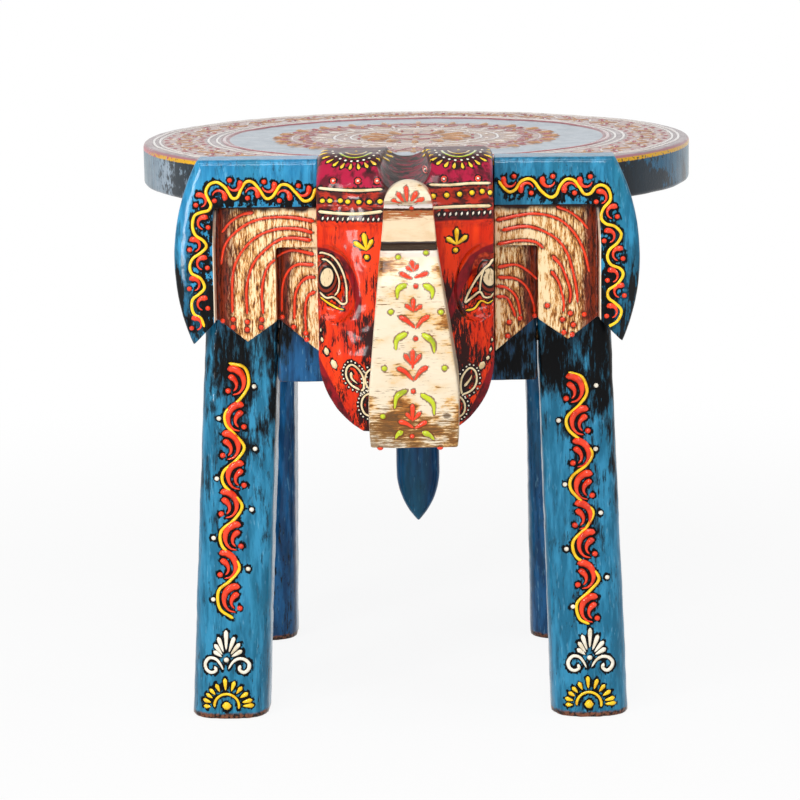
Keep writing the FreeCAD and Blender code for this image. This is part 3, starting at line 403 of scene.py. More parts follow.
def seat_finish(name):
    """Rings about the seat's axis: a brown and pink border, a plain pale blue band, a brown flower."""
    f = Finish(name)
    back = f.y - SEAT_AXIS
    around = f.node("ShaderNodeMath", {"operation": "ARCTAN2"}, {0: back, 1: f.x})
    out = (f.x * f.x + back * back).sum("SQRT") / SEAT_RADIUS
    wave = f.cloud(9, "all", 3, 3)
    dust = f.cloud(1.7, "all", 4, 13, 0.7)
    border = f.blend("A87F7C", "BF9C90", f.cloud(5, "all", 3, 23).rise(0.4, 0.6))
    border = f.blend(border, "7A5856", dust.rise(0.52, 0.64) * 0.7)
    plain = f.blend("A3B0BC", "8E9DAB", wave.rise(0.4, 0.65))
    lilac = f.blend("A89496", "8C797C", wave.rise(0.4, 0.6))
    heart = f.blend("A0786A", "B8926E", wave.rise(0.45, 0.62))
    heart = f.blend(heart, "6C4A48", dust.rise(0.54, 0.66) * 0.8)
    petal = (around * 24).sum("COSINE") * 0.012
    f.colour = f.blend(heart, plain, (out + petal).rise(0.512, 0.522))
    f.lay("8E3E48", out.rise(0.680, 0.686))
    f.lay(lilac, out.rise(0.712, 0.718))
    f.lay(border, out.rise(0.768, 0.772))
    f.lay(lilac, out.rise(0.926, 0.932))
    f.lay("A87078", out.rise(0.988, 0.992))
    f.lay("4A3234", halo_mask(f, 0.2, 0.8) * 0.6)
    top = f.z.rise(SEAT_TOP - 2.4, SEAT_TOP - 1.6)
    painted_top = f.colour
    lay_blue(f, f.z.rise(SEAT_TOP - 6, SEAT_UNDER + 4) * 0.35 + 0.75, 80, TEAL)
    f.lay(SOOT, (f.z + dust * 6).rise(SEAT_UNDER + 7.0, SEAT_UNDER + 2.0) * 0.9)
    # In front it is pale far left as a painted reflection, blue over black far right, and nearly black
    # beside the ears from soot and painted shade
    soot_shade_sheen_noise = f.cloud(4, (1, 1, 1.6), 4, 91, 0.7)
    in_front = f.y.rise(10, -60)
    pale = f.blend("ABB9C7", "8CA2B4", soot_shade_sheen_noise.rise(0.42, 0.66))
    f.lay(pale, f.x.rise(-110, -136) * in_front * 0.9)
    f.lay("1A5C80", f.x.rise(108, 124) * in_front * 0.75)
    dark = soot_shade_sheen_noise + abs(f.x - BASE_X).rise(148, 122) * in_front * 0.3
    dark = dark + f.x.rise(100, 120) * in_front * f.z.rise(SEAT_TOP - 7, SEAT_TOP - 15) * 0.25
    f.lay("0B151C", dark.rise(0.64, 0.76) * 0.92)
    under = f.z.rise(SEAT_UNDER + 1.2, SEAT_UNDER + 0.6)
    f.lay("6A4A30", under * 0.6)
    # A line of yellow, in places of red, runs along the upper edge
    line = (f.z + dust * 1.2).rise(SEAT_TOP - 3.6, SEAT_TOP - 3.2)
    red = (around + wave * 0.8).rise(-2.30, -2.45).most(wave.rise(0.56, 0.6))
    edging = f.blend("E0A818", "C24654", red)
    f.lay(edging, line * dust.rise(0.38, 0.42))
    f.lay(painted_top, top)
    f.relief(wave * 0.5 + dust * 0.5, 0.35)
    return f.done(f.cloud(12, "all", 2, 7) * 0.25 + 0.2)


def bead_paint(name, light, dark):
    """Thick glossy paint, a little darker in places and dirty where the black wash caught it."""
    f = Finish(name)
    f.colour = f.blend(light, dark, f.cloud(5, "all", 3, 2).rise(0.45, 0.75))
    f.lay(SOOT, f.cloud(1.1, "all", 3, 12, 0.7).rise(0.66, 0.74) * 0.7)
    f.relief(f.cloud(1.5, "all", 2, 5), 0.12)
    return f.done(f.cloud(6, "all", 2, 7) * 0.2 + 0.2, 1.0)


def bare_wood(name):
    f = Finish(name)
    grain = f.cloud(1.2, "y", 4, 2)
    f.relief(grain, 0.2)
    f.colour = f.blend("B98A56", "7C5530", grain.rise(0.4, 0.65))
    return f.done(grain * 0.3 + 0.5, 0.0, specular=0.4)


def screw_steel(name):
    f = Finish(name)
    scratch = f.cloud(0.8, (1, 4, 1), 3, 2)
    f.relief(scratch, 0.05)
    f.colour = f.blend("8E8C88", "5A5854", scratch.rise(0.4, 0.7))
    return f.done(scratch * 0.3 + 0.3, 0.0, 0.1, 1.0, 0.5)


BEADS = {
    colour: bead_paint("bead_" + colour, light, dark)
    for colour, light, dark in (
        ("yellow", "FFD21E", "E8A80A"),
        ("red", "F5401A", "CC2A0E"),
        ("white", "F6EEDC", "D8C9A8"),
        ("cream", "F5E0B4", "D2B27C"),
        ("lime", "BFCB1E", "8E9A10"),
        ("ochre", "C2946E", "9C6C50"),
        ("rose", "B27478", "8E525A"),
        ("bone", "E4DAD2", "C2B2AA"),
    )
}


# Carving


def fresh_mesh(piece):
    """The piece's mesh with its modifiers applied."""
    seen = piece.evaluated_get(bpy.context.evaluated_depsgraph_get())
    return bpy.data.meshes.new_from_object(seen)


def set_up(name, data):
    """An object in the scene for a mesh, a curve, a lamp or a camera."""
    thing = bpy.data.objects.new(name, data)
    bpy.context.scene.collection.objects.link(thing)
    return thing


def finish_mesh(mesh, material):
    mesh.materials.clear()
    mesh.materials.append(material)
    mesh.polygons.foreach_set("use_smooth", [True] * len(mesh.polygons))


def add_piece(name, mesh, material):
    piece = set_up(name, mesh)
    finish_mesh(mesh, material)
    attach(piece, "root")
    return piece


# What a field holds where it has nothing near, in mm
FAR_OFF = 9.0


def write_field(mesh, name, numbers):
    held = mesh.attributes.new(name, "FLOAT", "POINT")
    held.data.foreach_set("value", np.asarray(numbers, np.float32))


def read_rows(items, what, width, kind=np.float32):
    """What each item holds, such as its place, as the rows of a table."""
    flat = np.empty(len(items) * width, kind)
    items.foreach_get(what, flat)
    return flat.reshape(-1, width)


def points_of(mesh):
    return read_rows(mesh.vertices, "co", 3).astype(float) / MM


def move_points(mesh, points):
    mesh.vertices.foreach_set("co", (points * MM).astype(np.float32).ravel())


def write_crest(mesh):
    """How far each point stands out from those round it: over 0 on an edge, under 0 in a hollow."""
    points = points_of(mesh)
    ends = read_rows(mesh.edges, "vertices", 2, np.int32)
    one, two = ends.T
    count = np.bincount(ends.ravel(), minlength=len(points)).clip(1)

    def mean_round(values):
        total = np.zeros_like(values)
        np.add.at(total, one, values[two])
        np.add.at(total, two, values[one])
        return total / (count[:, None] if values.ndim > 1 else count)

    crest = ((points - mean_round(points)) * read_rows(mesh.vertex_normals, "vector", 3)).sum(1)
    for _ in range(3):
        crest = (crest + mean_round(crest)) / 2
    write_field(mesh, "crest", crest)


# How far a carved surface lies under its solid, which leaves room for the paint, in mm
SKIN = 0.35


def carve(name, node, material, grain, uneven, soften=4, front_skin=0.0):
    """The node as a dense and slightly uneven carved surface, which replaces it. grain is the size
    of its faces, and front_skin is how much deeper it lies where it faces forward."""
    rough = bmesh.new()
    rough.from_mesh(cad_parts[node].data)
    bmesh.ops.remove_doubles(rough, verts=rough.verts[:], dist=0.01 * MM)
    block = bpy.data.meshes.new(name + "_carved_block")
    rough.to_mesh(block)
    rough.free()
    piece = add_piece(name + "_carved", block, material)
    chisel = piece.modifiers.new("chisel", "REMESH")
    chisel.mode = "VOXEL"
    chisel.voxel_size = grain * 1.0 * MM
    surface = fresh_mesh(piece)
    piece.modifiers.clear()
    carved = bmesh.new()
    carved.from_mesh(surface)
    for _ in range(soften):
        bmesh.ops.smooth_vert(
            carved, verts=carved.verts[:], factor=0.5, use_axis_x=True, use_axis_y=True, use_axis_z=True
        )
    carved.normal_update()
    for vert in carved.verts:
        sway = noise.noise(vert.co * 60) + 0.5 * noise.noise(vert.co * 190)
        depth = SKIN + front_skin * max(0.0, -vert.normal.y) + uneven * sway
        vert.co -= vert.normal * (depth * MM)
    carved.normal_update()
    carved.to_mesh(surface)
    carved.free()
    finish_mesh(surface, material)
    piece.data = surface
    write_crest(surface)
    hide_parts(node)
    return piece


def away_from(points, outline):
    """Signed distance in mm from a closed outline, under 0 inside it."""
    corners = np.array(outline, float)
    inside = np.zeros(len(points), bool)
    least = np.full(len(points), 1e9)
    for a, b in zip(corners, np.roll(corners, -1, 0)):
        along = np.clip(((points - a) @ (b - a)) / ((b - a) @ (b - a)), 0, 1)
        least = np.minimum(least, np.linalg.norm(points - a - along[:, None] * (b - a), axis=1))
        if a[1] != b[1]:
            crosses = (a[1] > points[:, 1]) != (b[1] > points[:, 1])
            meets = (b[0] - a[0]) * (points[:, 1] - a[1]) / (b[1] - a[1]) + a[0]
            inside ^= crosses & (points[:, 0] < meets)
    return np.where(inside, -least, least)


# Painting


def smooth_line(points, step):
    """Points about step mm apart on a smooth line through the given ones."""
    knots = [Vector(p) for p in points]
    knots = [2 * knots[0] - knots[1], *knots, 2 * knots[-1] - knots[-2]]
    line = []
    for a, b, c, d in zip(knots, knots[1:], knots[2:], knots[3:]):
        parts = max(1, math.ceil((c - b).length / step))
        for k in range(parts):
            t = k / parts
            curved = (2 * a - 5 * b + 4 * c - d) * t * t + (3 * b - a - 3 * c + d) * t**3
            line.append((2 * b + (c - a) * t + curved) / 2)
    return [*line, knots[-2]]


# How far a surface may drop, in mm, between two points of a bead before the bead ends there
LEAP = 2.2


class Side:
    """One side of a carved piece, painted with beads. across and up are its own directions, and
    shift is where its own measure across starts."""

    def __init__(self, piece, step=1.1, shift=0.0, across=(1, 0, 0), up=(0, 0, 1)):
        carved = bmesh.new()
        carved.from_mesh(piece.data)
        self.tree = BVHTree.FromBMesh(carved)
        carved.free()
        self.piece, self.step, self.shift = piece, step, shift
        self.across, self.up = Vector(across).normalized(), Vector(up).normalized()
        self.into = self.up.cross(self.across)

    def spot(self, u, v):
        start = (self.across * (u + self.shift) + self.up * v) * MM - self.into
        return self.tree.ray_cast(start, self.into)[:2]

    def stroke(self, colour, points, width, shape=(1, 1), high=0.62):
        """A bead through the points, width mm wide, times the shares in shape from end to end."""
        line = smooth_line(points, self.step)
        lengths = [0.0]
        for a, b in zip(line, line[1:]):
            lengths.append(lengths[-1] + (b - a).length)
        whole = max(lengths[-1], 1e-6)
        bead, last = [], None
        for point, run in zip(line, lengths):
            place = run / whole * (len(shape) - 1)
            k = min(int(place), len(shape) - 2)
            half = width / 2 * (shape[k] + (shape[k + 1] - shape[k]) * (place - k))
            half *= 1 + 0.10 * noise.noise(Vector((point.x, point.y, 3.0)) * 0.35)
            near = min(run, whole - run) / half
            half *= 0.25 + 0.75 * math.sqrt(1 - (1 - min(near, 1)) ** 2)
            hit, normal = self.spot(point.x, point.y)
            if hit is None or (last and (hit - last).length > (self.step + LEAP) * MM):
                store(self.piece, colour, bead)
                bead = []
            last = hit
            if hit is not None:
                rise = high * half
                radius = (half * half + rise * rise) / (2 * rise)
                bead.append((hit - normal * (radius - rise) * MM, radius, hit, half))
        store(self.piece, colour, bead)

    def dot(self, colour, u, v, size, high=0.7):
        """A round blob: a bead as short as it is wide."""
        hit, normal = self.spot(u, v)
        if hit is None:
            return
        side = normal.cross(self.up).normalized()
        half = size / 2
        rise = high * half
        bead = []
        for t in (-1, -0.8, -0.4, 0, 0.4, 0.8, 1):
            radius = half * max(0.12, math.sqrt(1 - t * t))
            bead.append((hit + side * half * t * MM - normal * (half - rise) * MM, radius, hit, half))
        store(self.piece, colour, bead)

    def drop(self, colour, start, end, width, high=0.62):
        """A petal or tear: thin at its start and round at its end."""
        self.stroke(colour, [start, end], width, (0.35, 0.7, 1.0, 1.0), high)

    def arc(self, colour, centre, radius, start, sweep, width, shape=(1, 1)):
        count = math.ceil(abs(sweep) * (radius + 30) / 900) + 1
        angles = (math.radians(start + sweep * k / count) for k in range(count + 1))
        points = [(centre[0] + radius * math.cos(a), centre[1] + radius * math.sin(a)) for a in angles]
        self.stroke(colour, points, width, shape)

    def curl(self, colour, centre, opens, hand):
        """A fat comma round a dot. It opens in the direction opens, in degrees, and its head lies on
        the side that hand gives, 1 for anticlockwise of the opening."""
        thin = (1.1, 1.15, 0.75, 0.5, 0.35, 0.25)
        self.arc(colour, centre, 3.2, opens + hand * 50, hand * 208, 2.9, thin)
        turn = math.radians(opens - hand * 47)
        self.dot(colour, centre[0] + 3 * math.cos(turn), centre[1] + 3 * math.sin(turn), 2.8)

    def double_curl(self, colour, centre, hand):
        """A large comma round a small one, with a dot at its foot. hand is 1 where it opens right."""
        for line, width, thin in (
            (
                ((3.8, 6.2), (0.2, 6.6), (-3.4, 4.2), (-4.9, 0.4), (-4.5, -3.6), (-2.2, -6.6),
                 (1.2, -7.6)),
                3.5,
                (1.0, 1.15, 1.05, 0.85, 0.55, 0.35, 0.2),
            ),
            (
                ((3.4, 2.2), (1.2, 1.8), (-0.8, -0.8), (-0.9, -3.6), (0.6, -5.6)),
                2.9,
                (1.15, 1.1, 0.75, 0.45, 0.3),
            ),
        ):
            self.stroke(colour, [(centre[0] + hand * u, centre[1] + v) for u, v in line], width, thin)
        self.dot(colour, centre[0] + hand * 3.5, centre[1] - 5.4, 3.2)


# The beads of each piece and colour, and where each piece has beads
beads, inked = {}, {}


def store(piece, colour, bead):
    """Keeps a bead for its colour, and its place for the black that is rubbed round it."""
    if len(bead) < 3:
        return
    line = [(centre, radius) for centre, radius, _, _ in bead]
    beads.setdefault((piece.name, colour), []).append(line)
    inked.setdefault(piece.name, []).extend((hit, half) for _, _, hit, half in bead)


def squeeze_beads(piece):
    """All the beads of one piece as one mesh for each colour."""
    for (owner, colour), lines in beads.items():
        if owner != piece.name:
            continue
        curve = bpy.data.curves.new(owner + "_" + colour, "CURVE")
        curve.dimensions = "3D"
        curve.bevel_depth = MM
        curve.bevel_resolution = 1
        curve.use_fill_caps = True
        for line in lines:
            spline = curve.splines.new("POLY")
            spline.points.add(len(line) - 1)
            for point, (centre, radius) in zip(spline.points, line):
                point.co = (*centre, 1)
                point.radius = radius
        tube = set_up(owner + "_tube", curve)
        mesh = fresh_mesh(tube)
        bpy.data.objects.remove(tube)
        bpy.data.curves.remove(curve)
        points = points_of(mesh)
        points[:, 2] = np.minimum(points[:, 2], TOP)
        move_points(mesh, points)
        add_piece(owner + "_beads_" + colour, mesh, BEADS[colour])


def write_ink(piece):
    """How far each point lies from the edge of the nearest bead, in mm."""
    mesh = piece.data
    places = inked.get(piece.name, [])
    if not places:
        write_field(mesh, "ink", np.full(len(mesh.vertices), FAR_OFF))
        return
    tree = KDTree(len(places))
    for k, (hit, _) in enumerate(places):
        tree.insert(hit, k)
    tree.balance()
    ink = []
    for vert in mesh.vertices:
        _, k, gap = tree.find(vert.co)
        ink.append(min(gap / MM - places[k][1], FAR_OFF))
    write_field(mesh, "ink", ink)


def lay_beads(piece):
    squeeze_beads(piece)
    write_ink(piece)


# The ears


# The outer edge of the border: straight on top, and a long arc from the corner to the tip
EAR_CORNER, EAR_TIP, EAR_BULGE = (108.5, 307.5), (112.3, 209.5), 11.3
EAR_OUTLINE = [(40, 307.5)] + [
    (
        EAR_CORNER[0] + (EAR_TIP[0] - EAR_CORNER[0]) * k / 16 + EAR_BULGE * (1 - (k / 8 - 1) ** 2),
        EAR_CORNER[1] + (EAR_TIP[1] - EAR_CORNER[1]) * k / 16,
    )
    for k in range(17)
] + [(40, 150)]

# The carved panel inside it, and how far behind the border's face its pleats can lie
EAR_PANEL = [(40, 282.6), (99.8, 282.6), (100.8, 262), (100.8, 200), (40, 190)]
PANEL_DEPTH = 9.5
# How far the border's face falls back towards its outer edge, how wide that fall is, and the depth
# at which it ends
CUSHION, CUSHION_WIDTH, CUSHION_DEPTH = 1.5, 11, 8

# The beads on each ear, across from the head's middle and up from the floor in mm. Each curl has the
# direction in which it opens, in degrees.
LEFT_EAR = {
    "vine": [
        (46.7, 292.4), (48.8, 287.1), (52.8, 285.8), (56.7, 289.8), (60.6, 293.8), (64.6, 294.2),
        (67.3, 290.6), (69.3, 288), (72.6, 287.3), (75.9, 292), (79.1, 295.7), (82.4, 296.1),
        (85.1, 292.8), (87.2, 288.1), (89.9, 287.5), (91.8, 290.2), (93.7, 293.2), (97.6, 295.9),
        (101.6, 294.9), (103.7, 291), (102.5, 287), (101.2, 284.3), (102.6, 281.3), (106.6, 280.3),
        (110, 278.4), (111.1, 273.1), (109.6, 268.4), (105.7, 265.6), (104.1, 262.3), (107.2, 259),
        (111.2, 256.3), (113, 252.3), (112.1, 248.3), (107.5, 245.6), (105.6, 240.8), (108.4, 237.5),
        (111.8, 234.8), (112.6, 230.8), (111.3, 226.7), (108, 224.7), (106.1, 219.9),
    ],
    "curls": [
        (97.1, 288.4, 270), (89, 294.8, 90), (79.9, 289.6, 270), (71.2, 293.9, 90), (63.4, 288.1, 270),
        (53.3, 291.7, 90), (107, 286.3, 0), (105.0, 274.6, 180), (110.8, 263, 0), (105.9, 253.4, 180),
        (111.5, 242.4, 0), (106.2, 232.1, 180), (110.9, 221.5, 0),
    ],
    "lines": [
        [(96.6, 268.5), (92.1, 273.9), (85.9, 278.1), (79.7, 279.5)],
        [(97.4, 251.6), (95.1, 261.8), (88.8, 269.3), (79.9, 274.8), (69.7, 277.1), (59.7, 277),
         (47.8, 274.9)],
        [(91.9, 226.1), (91.4, 245), (88.4, 255.2), (82.1, 263.4), (75.3, 268.3), (66.5, 271.1),
         (56.5, 271), (48.6, 268.9)],
        [(84, 225.6), (84, 239.8), (80.4, 252), (74.1, 259.6), (66.6, 265.1), (59.2, 266.3),
         (49.3, 264.9)],
        [(75.5, 225.9), (75.9, 238.7), (72.9, 250.2), (67.2, 256), (61.7, 258.8), (57, 259),
         (48.2, 257.2)],
        [(66.1, 226.3), (65.5, 239.2), (62.6, 247.4), (57.1, 251.6), (48.3, 251.8)],
        [(59.4, 222.5), (58.8, 234.7), (56, 241.5), (51.8, 245), (47.8, 245.1)],
        [(53.4, 216.6), (53.5, 228.1), (52, 234.9), (47.9, 237.7)],
    ],
    "dots": [
        (91.6, 222.7), (91.7, 218.6), (84.1, 221.6), (84.2, 217.5), (76.3, 223.1), (76.7, 218.9),
        (97.2, 221.8), (65.9, 223.6), (66, 219.5), (59.8, 218.4), (59.4, 214.6), (53.4, 215.4),
        (53.1, 211.9),
    ],
}

RIGHT_EAR = {
    "vine": [
        (48, 295.4), (50.3, 292.1), (53.5, 289.4), (56.8, 290.7), (59.5, 294.6), (63.5, 296.2),
        (66.7, 294.5), (70, 289.9), (74.6, 286.5), (77.9, 287.8), (79.9, 292.4), (83.2, 295.7),
        (87.2, 295), (89.8, 291.7), (92.4, 288), (95.7, 288.3), (98.3, 291.6), (101.6, 292.5),
        (104.9, 290.2), (105.9, 284.9), (102.3, 280.3), (101, 275.6), (103.6, 272.3), (108.2, 270.9),
        (111.5, 266.9), (109.5, 262.2), (105.6, 258.9), (104.3, 254.9), (106.2, 250.9), (110.9, 248.8),
        (112.5, 245.5), (109.6, 240.8), (104.9, 237.5), (104.9, 233.5), (108.2, 230.8), (111.6, 226.7),
        (109.6, 221.3), (104.3, 218),
    ],
    "curls": [
        (53.9, 295.4, 90), (62.8, 290.8, 270), (74, 295.2, 90), (85.2, 290.6, 270), (93.3, 294.9, 90),
        (100.6, 286.0, 180), (107.4, 278.2, 0), (104.7, 265.6, 180), (110.4, 256.2, 0),
        (106.4, 244.9, 180), (111.1, 236.8, 0), (106.0, 226.1, 180),
    ],
    "lines": [
        [(78, 281.3), (84.6, 278.4), (90, 274.2), (94.6, 268.7)],
        [(46.8, 274.6), (65.4, 277.8), (78.6, 274.7), (87.3, 267), (92.6, 256.7), (95.3, 245.8)],
        [(49.5, 269.3), (63.4, 271.1), (76.6, 265.4), (83.3, 257.1), (86.6, 246.9), (88.4, 238),
         (89.2, 229.9)],
        [(47.4, 261.9), (58, 263.8), (66.6, 263.1), (71.3, 259.6)],
        [(75.9, 255.4), (81.2, 248.5), (85.2, 236.8), (84.9, 230.1)],
        [(75.2, 247.4), (79.2, 241.2), (81.8, 230.3), (81.5, 225.6)],
        [(47.3, 249.6), (56.7, 250.5), (63.3, 246.8), (68.5, 241.6)],
        [(47.3, 244.3), (56.6, 243.1), (62.6, 238.1), (65.9, 229.8), (66.6, 224.4)],
        [(46.6, 239.6), (51.9, 238.6), (57.2, 233), (59.2, 223.4)],
        [(46.6, 234.2), (51.9, 233.3), (55.2, 227), (56.5, 222.9)],
    ],
    "dots": [
        (81.1, 221.5), (85.2, 224.7), (86.8, 218.5), (81.8, 214.7), (86.2, 213.2), (92.6, 223.7),
        (73.1, 229.3), (53.2, 220.4), (58.9, 222.1), (66.6, 223), (60.5, 216.6), (52.4, 213),
    ],
}


def make_ear(word, side, design):
    """side is -1 for the ear on the left of someone who faces the head. Both are drawn as side 1."""
    name = "ear_" + word
    finish = ear_finish(name + "_finish", side)
    ear = carve(name, name, finish, grain=0.75, soften=3, uneven=0.15)
    points = points_of(ear.data)
    back = points[:, 1] - points[:, 1].min()
    flat = np.stack([(points[:, 0] - BASE_X) * side, points[:, 2]], 1)
    panel = np.where(back < PANEL_DEPTH, away_from(flat, EAR_PANEL), FAR_OFF)
    write_field(ear.data, "panel", panel)
    write_field(ear.data, "depth", back)
    edge = away_from(flat, EAR_OUTLINE)
    write_field(ear.data, "outer", edge)
    fall = (1 + edge / CUSHION_WIDTH).clip(0, 1) ** 2 * (1 - back / CUSHION_DEPTH).clip(0, 1)
    points[:, 1] += CUSHION * fall
    move_points(ear.data, points)
    ear.data.update()
    face = Side(ear, shift=BASE_X)
    face.stroke("yellow", [(side * u, v) for u, v in design["vine"]], 1.8)
    for u, v, opens in design["curls"]:
        outward = 1 if opens < 180 else -1
        face.curl("red", (side * u, v), opens if side > 0 else 180 - opens, side * outward)
    for line in design["lines"]:
        outer_first = line if side > 0 else line[::-1]
        face.stroke("red", [(side * u, v) for u, v in outer_first], 1.35, (1.5, 0.9, 1.0, 1.0), 0.7)
    for u, v in design["dots"]:
        face.dot("red", side * u, v, 2.9)
    lay_beads(ear)


make_ear("left", -1, LEFT_EAR)
make_ear("right", 1, RIGHT_EAR)


# The head


# All places on the head are across from its middle and up from the floor, in mm.
# Maroon: the two brows, whose maroon also paints the shade on the upper side of each eye hollow, and
# the strips under the cheeks
HEAD_MAROON = [
    [(-46, 265.5), (-40, 264.5), (-32, 260.5), (-25.5, 252), (-22.3, 240), (-22.8, 228), (-25.5, 229),
     (-26.5, 240), (-29.5, 251), (-35, 257.5), (-42, 261), (-46, 261)],
    [(46.5, 267), (40, 264.5), (33, 260), (26.5, 250), (21.5, 236), (20, 222), (24.5, 231), (29, 243),
     (35, 252), (42, 259.5), (46.5, 262)],
    [(-47, 214), (-43.5, 205), (-36, 189), (-28, 172), (-22, 166), (-30, 166), (-47, 180)],
    [(47, 214), (43.5, 203), (36, 187), (28, 172), (22, 166), (30, 166), (47, 180)],
]
# The middle of each eye and how far it leans, and half its width and height
EYES = [((-40.3, 249.6), 0.10), ((42.6, 249.2), -0.10)]
EYE_HALVES = (3.3, 4.9)
# The saddle between the domes: its height, its middle and half its width
CLEFT_FOOT, CLEFT_MIDDLE, CLEFT_HALF = 290, 0.5, 11.5
# Two cream lines of the headband on each side, with yellow dots between them
BAND_LINES = [
    [(-44, 295.6), (-32.6, 295), (-22.4, 294.9), (-10.9, 295.6)],
    [(12.6, 297.6), (23.3, 297.2), (33.4, 297.6), (44, 297.2)],
    [(-44, 283.9), (-32.7, 283.2), (-22.5, 283.3), (-11, 284.6)],
    [(13.6, 286.1), (28.2, 286.4), (44, 286)],
]
BAND_DOTS = [
    (-41.8, 289.3), (-37.9, 289.4), (-32.5, 289.6), (-28.7, 289.2), (-23, 289.2), (-17.6, 289.3),
    (-12.2, 289.5), (14.7, 291.9), (21.6, 292.2), (28.1, 292.5), (34.4, 293), (39.6, 293.4),
    (43.6, 292.5),
]
# Rows of white dashes under the headband: how many, where they start, their pitch, rise and width
DASHES = [(12, (-42, 279.6), 2.6, 1.8, 1.3), (10, (17.2, 281.8), 2.9, 1.8, 1.4)]
# A yellow flower on each temple: its foot, the tips of its petals and the dot under it
TEMPLE_FLOWERS = [
    ((-19.4, 264.4), [(-20.9, 273.4), (-26.1, 268.7), (-16.3, 270.1)], (-19.4, 260.9)),
    ((26.4, 266.9), [(26.5, 275.4), (21.1, 270.6), (31.8, 271.3)], (25.8, 264.0)),
]
# Lines round each eye and its pupil, with a yellow lash under it: colour, points, width and shape
EYE_LINES = [
    ("cream", [(-44, 261.8), (-42.6, 262.3), (-37.2, 260), (-32.9, 253.7), (-30.6, 245.8),
               (-30.4, 239.2), (-30.6, 236.2), (-33.3, 235.7), (-37, 239.1), (-40.9, 238.9),
               (-44.2, 241.9)], 1.25, (1, 1)),
    ("cream", [(-42.9, 258.8), (-40.2, 258.2), (-36.8, 254.8), (-34.1, 248.2), (-34.6, 242.6),
               (-36.6, 239.9)], 1.1, (1, 1)),
    ("yellow", [(-43.9, 239.2), (-39.6, 235.9), (-35.2, 233.4), (-31.8, 232.7)], 1.1, (1.0, 1.2, 0.6)),
    ("cream", [(45, 258.3), (42.8, 255.2), (40.3, 253.2), (35.4, 246.8), (30.9, 237.9), (30.6, 235.9),
               (33.7, 238.1), (37.9, 241.4), (40.1, 238.5), (43.3, 238.4), (45, 240.6)], 1.25, (1, 1)),
    ("cream", [(37.9, 241.4), (38.2, 245.5), (38.9, 249.5), (40.2, 253.0)], 1.0, (1, 1)),
    ("yellow", [(30.7, 231.9), (35, 232.6), (38.4, 236.4), (42, 235.2), (44.8, 236.9)],
     1.1, (1.3, 1.0, 0.7)),
]
# Cream drops that run down the cheeks: start, end and width
CHEEK_DROPS = [
    ((-43.9, 223.4), (-43.9, 221.6), 1.2), ((-43.5, 218.8), (-43.1, 216.4), 1.6),
    ((-41.6, 213.6), (-40.6, 209.6), 2.6), ((-38.2, 207.4), (-36.4, 202.4), 3.2),
    ((44.1, 217.6), (44.0, 215.8), 1.1), ((43.5, 212.8), (42.9, 210.6), 1.4),
    ((42.2, 208.4), (41.4, 206.2), 1.8), ((39.7, 205.6), (37.8, 201.4), 3.2),
]
# Paisleys on the cheeks: the outline and the line inside it
PAISLEYS = [
    ([(-24.2, 191.4), (-28.7, 194.2), (-31.1, 198.9), (-30.4, 203.4), (-27.8, 205.0), (-24.6, 202.6),
      (-22.3, 198.2), (-22.1, 192.6), (-23.6, 190.8)],
     [(-28.4, 201), (-28.3, 197.6), (-25.4, 194.8)]),
    ([(-13.5, 196), (-16.5, 192.2), (-19.5, 192.4), (-21.2, 196), (-20.6, 200.4), (-17.5, 203.2),
      (-13.5, 203)],
     [(-17.6, 199.4), (-17.8, 196.2)]),
    ([(-13, 177), (-18, 177), (-21.8, 178.4), (-23.5, 182.6), (-22.6, 187), (-19.6, 189.4),
      (-14, 189.6)],
     [(-19.6, 185.6), (-18.2, 181)]),
    ([(28.4, 188.4), (27.7, 192.5), (28.6, 198), (32.2, 202.4), (35.2, 200.6), (36.0, 196.0),
      (34.8, 192), (32, 189.5), (28.4, 188.2)],
     [(29.6, 192.6), (32.7, 196.6), (33.4, 198.6)]),
    ([(24, 189.4), (28.2, 186), (29.8, 182), (28.8, 177.6), (25, 175.4)],
     [(26, 183), (26, 180)]),
]
# The domes' half suns: their middles across, and their height as they are seen, flattened by a share
DOME_MIDDLES, DOME_LEVEL, DOME_FLAT = (-25.4, 27.6), 287.0, 0.64
# Small red rings over the headband: place and size
BAND_RINGS = [
    (-36.2, 299.3, 1.6), (-23.4, 299.5, 1.6), (-13.6, 299.6, 1.6), (10.4, 303.2, 1.6),
    (20.2, 300.1, 1.7), (37.5, 299.7, 1.6),
]


def paint_dome(brow, middle):
    """Half a sun at the back of a dome: rings, a row of dots and yellow rays."""

    def ray(angle, reach):
        turn = math.radians(angle)
        return (middle + reach * math.cos(turn), DOME_LEVEL + DOME_FLAT * reach * math.sin(turn))

    brow.stroke("lime", [ray(181 + 17.8 * k, 8.9) for k in range(11)], 1.5, high=0.35)
    brow.stroke("yellow", [ray(184 + 17.2 * k, 5.9) for k in range(11)], 1.0, high=0.35)
    brow.dot("yellow", *ray(270, 1.4), 2.6, 0.3)
    for k in range(12):
        brow.dot("white", *ray(187 + 15.1 * k, 12.2), 1.8, 0.5)
    for k in range(14):
        angle = 180 + 13.85 * k
        brow.drop("yellow", ray(angle, 14.4), ray(angle, 19.6), 2.1, 0.5)


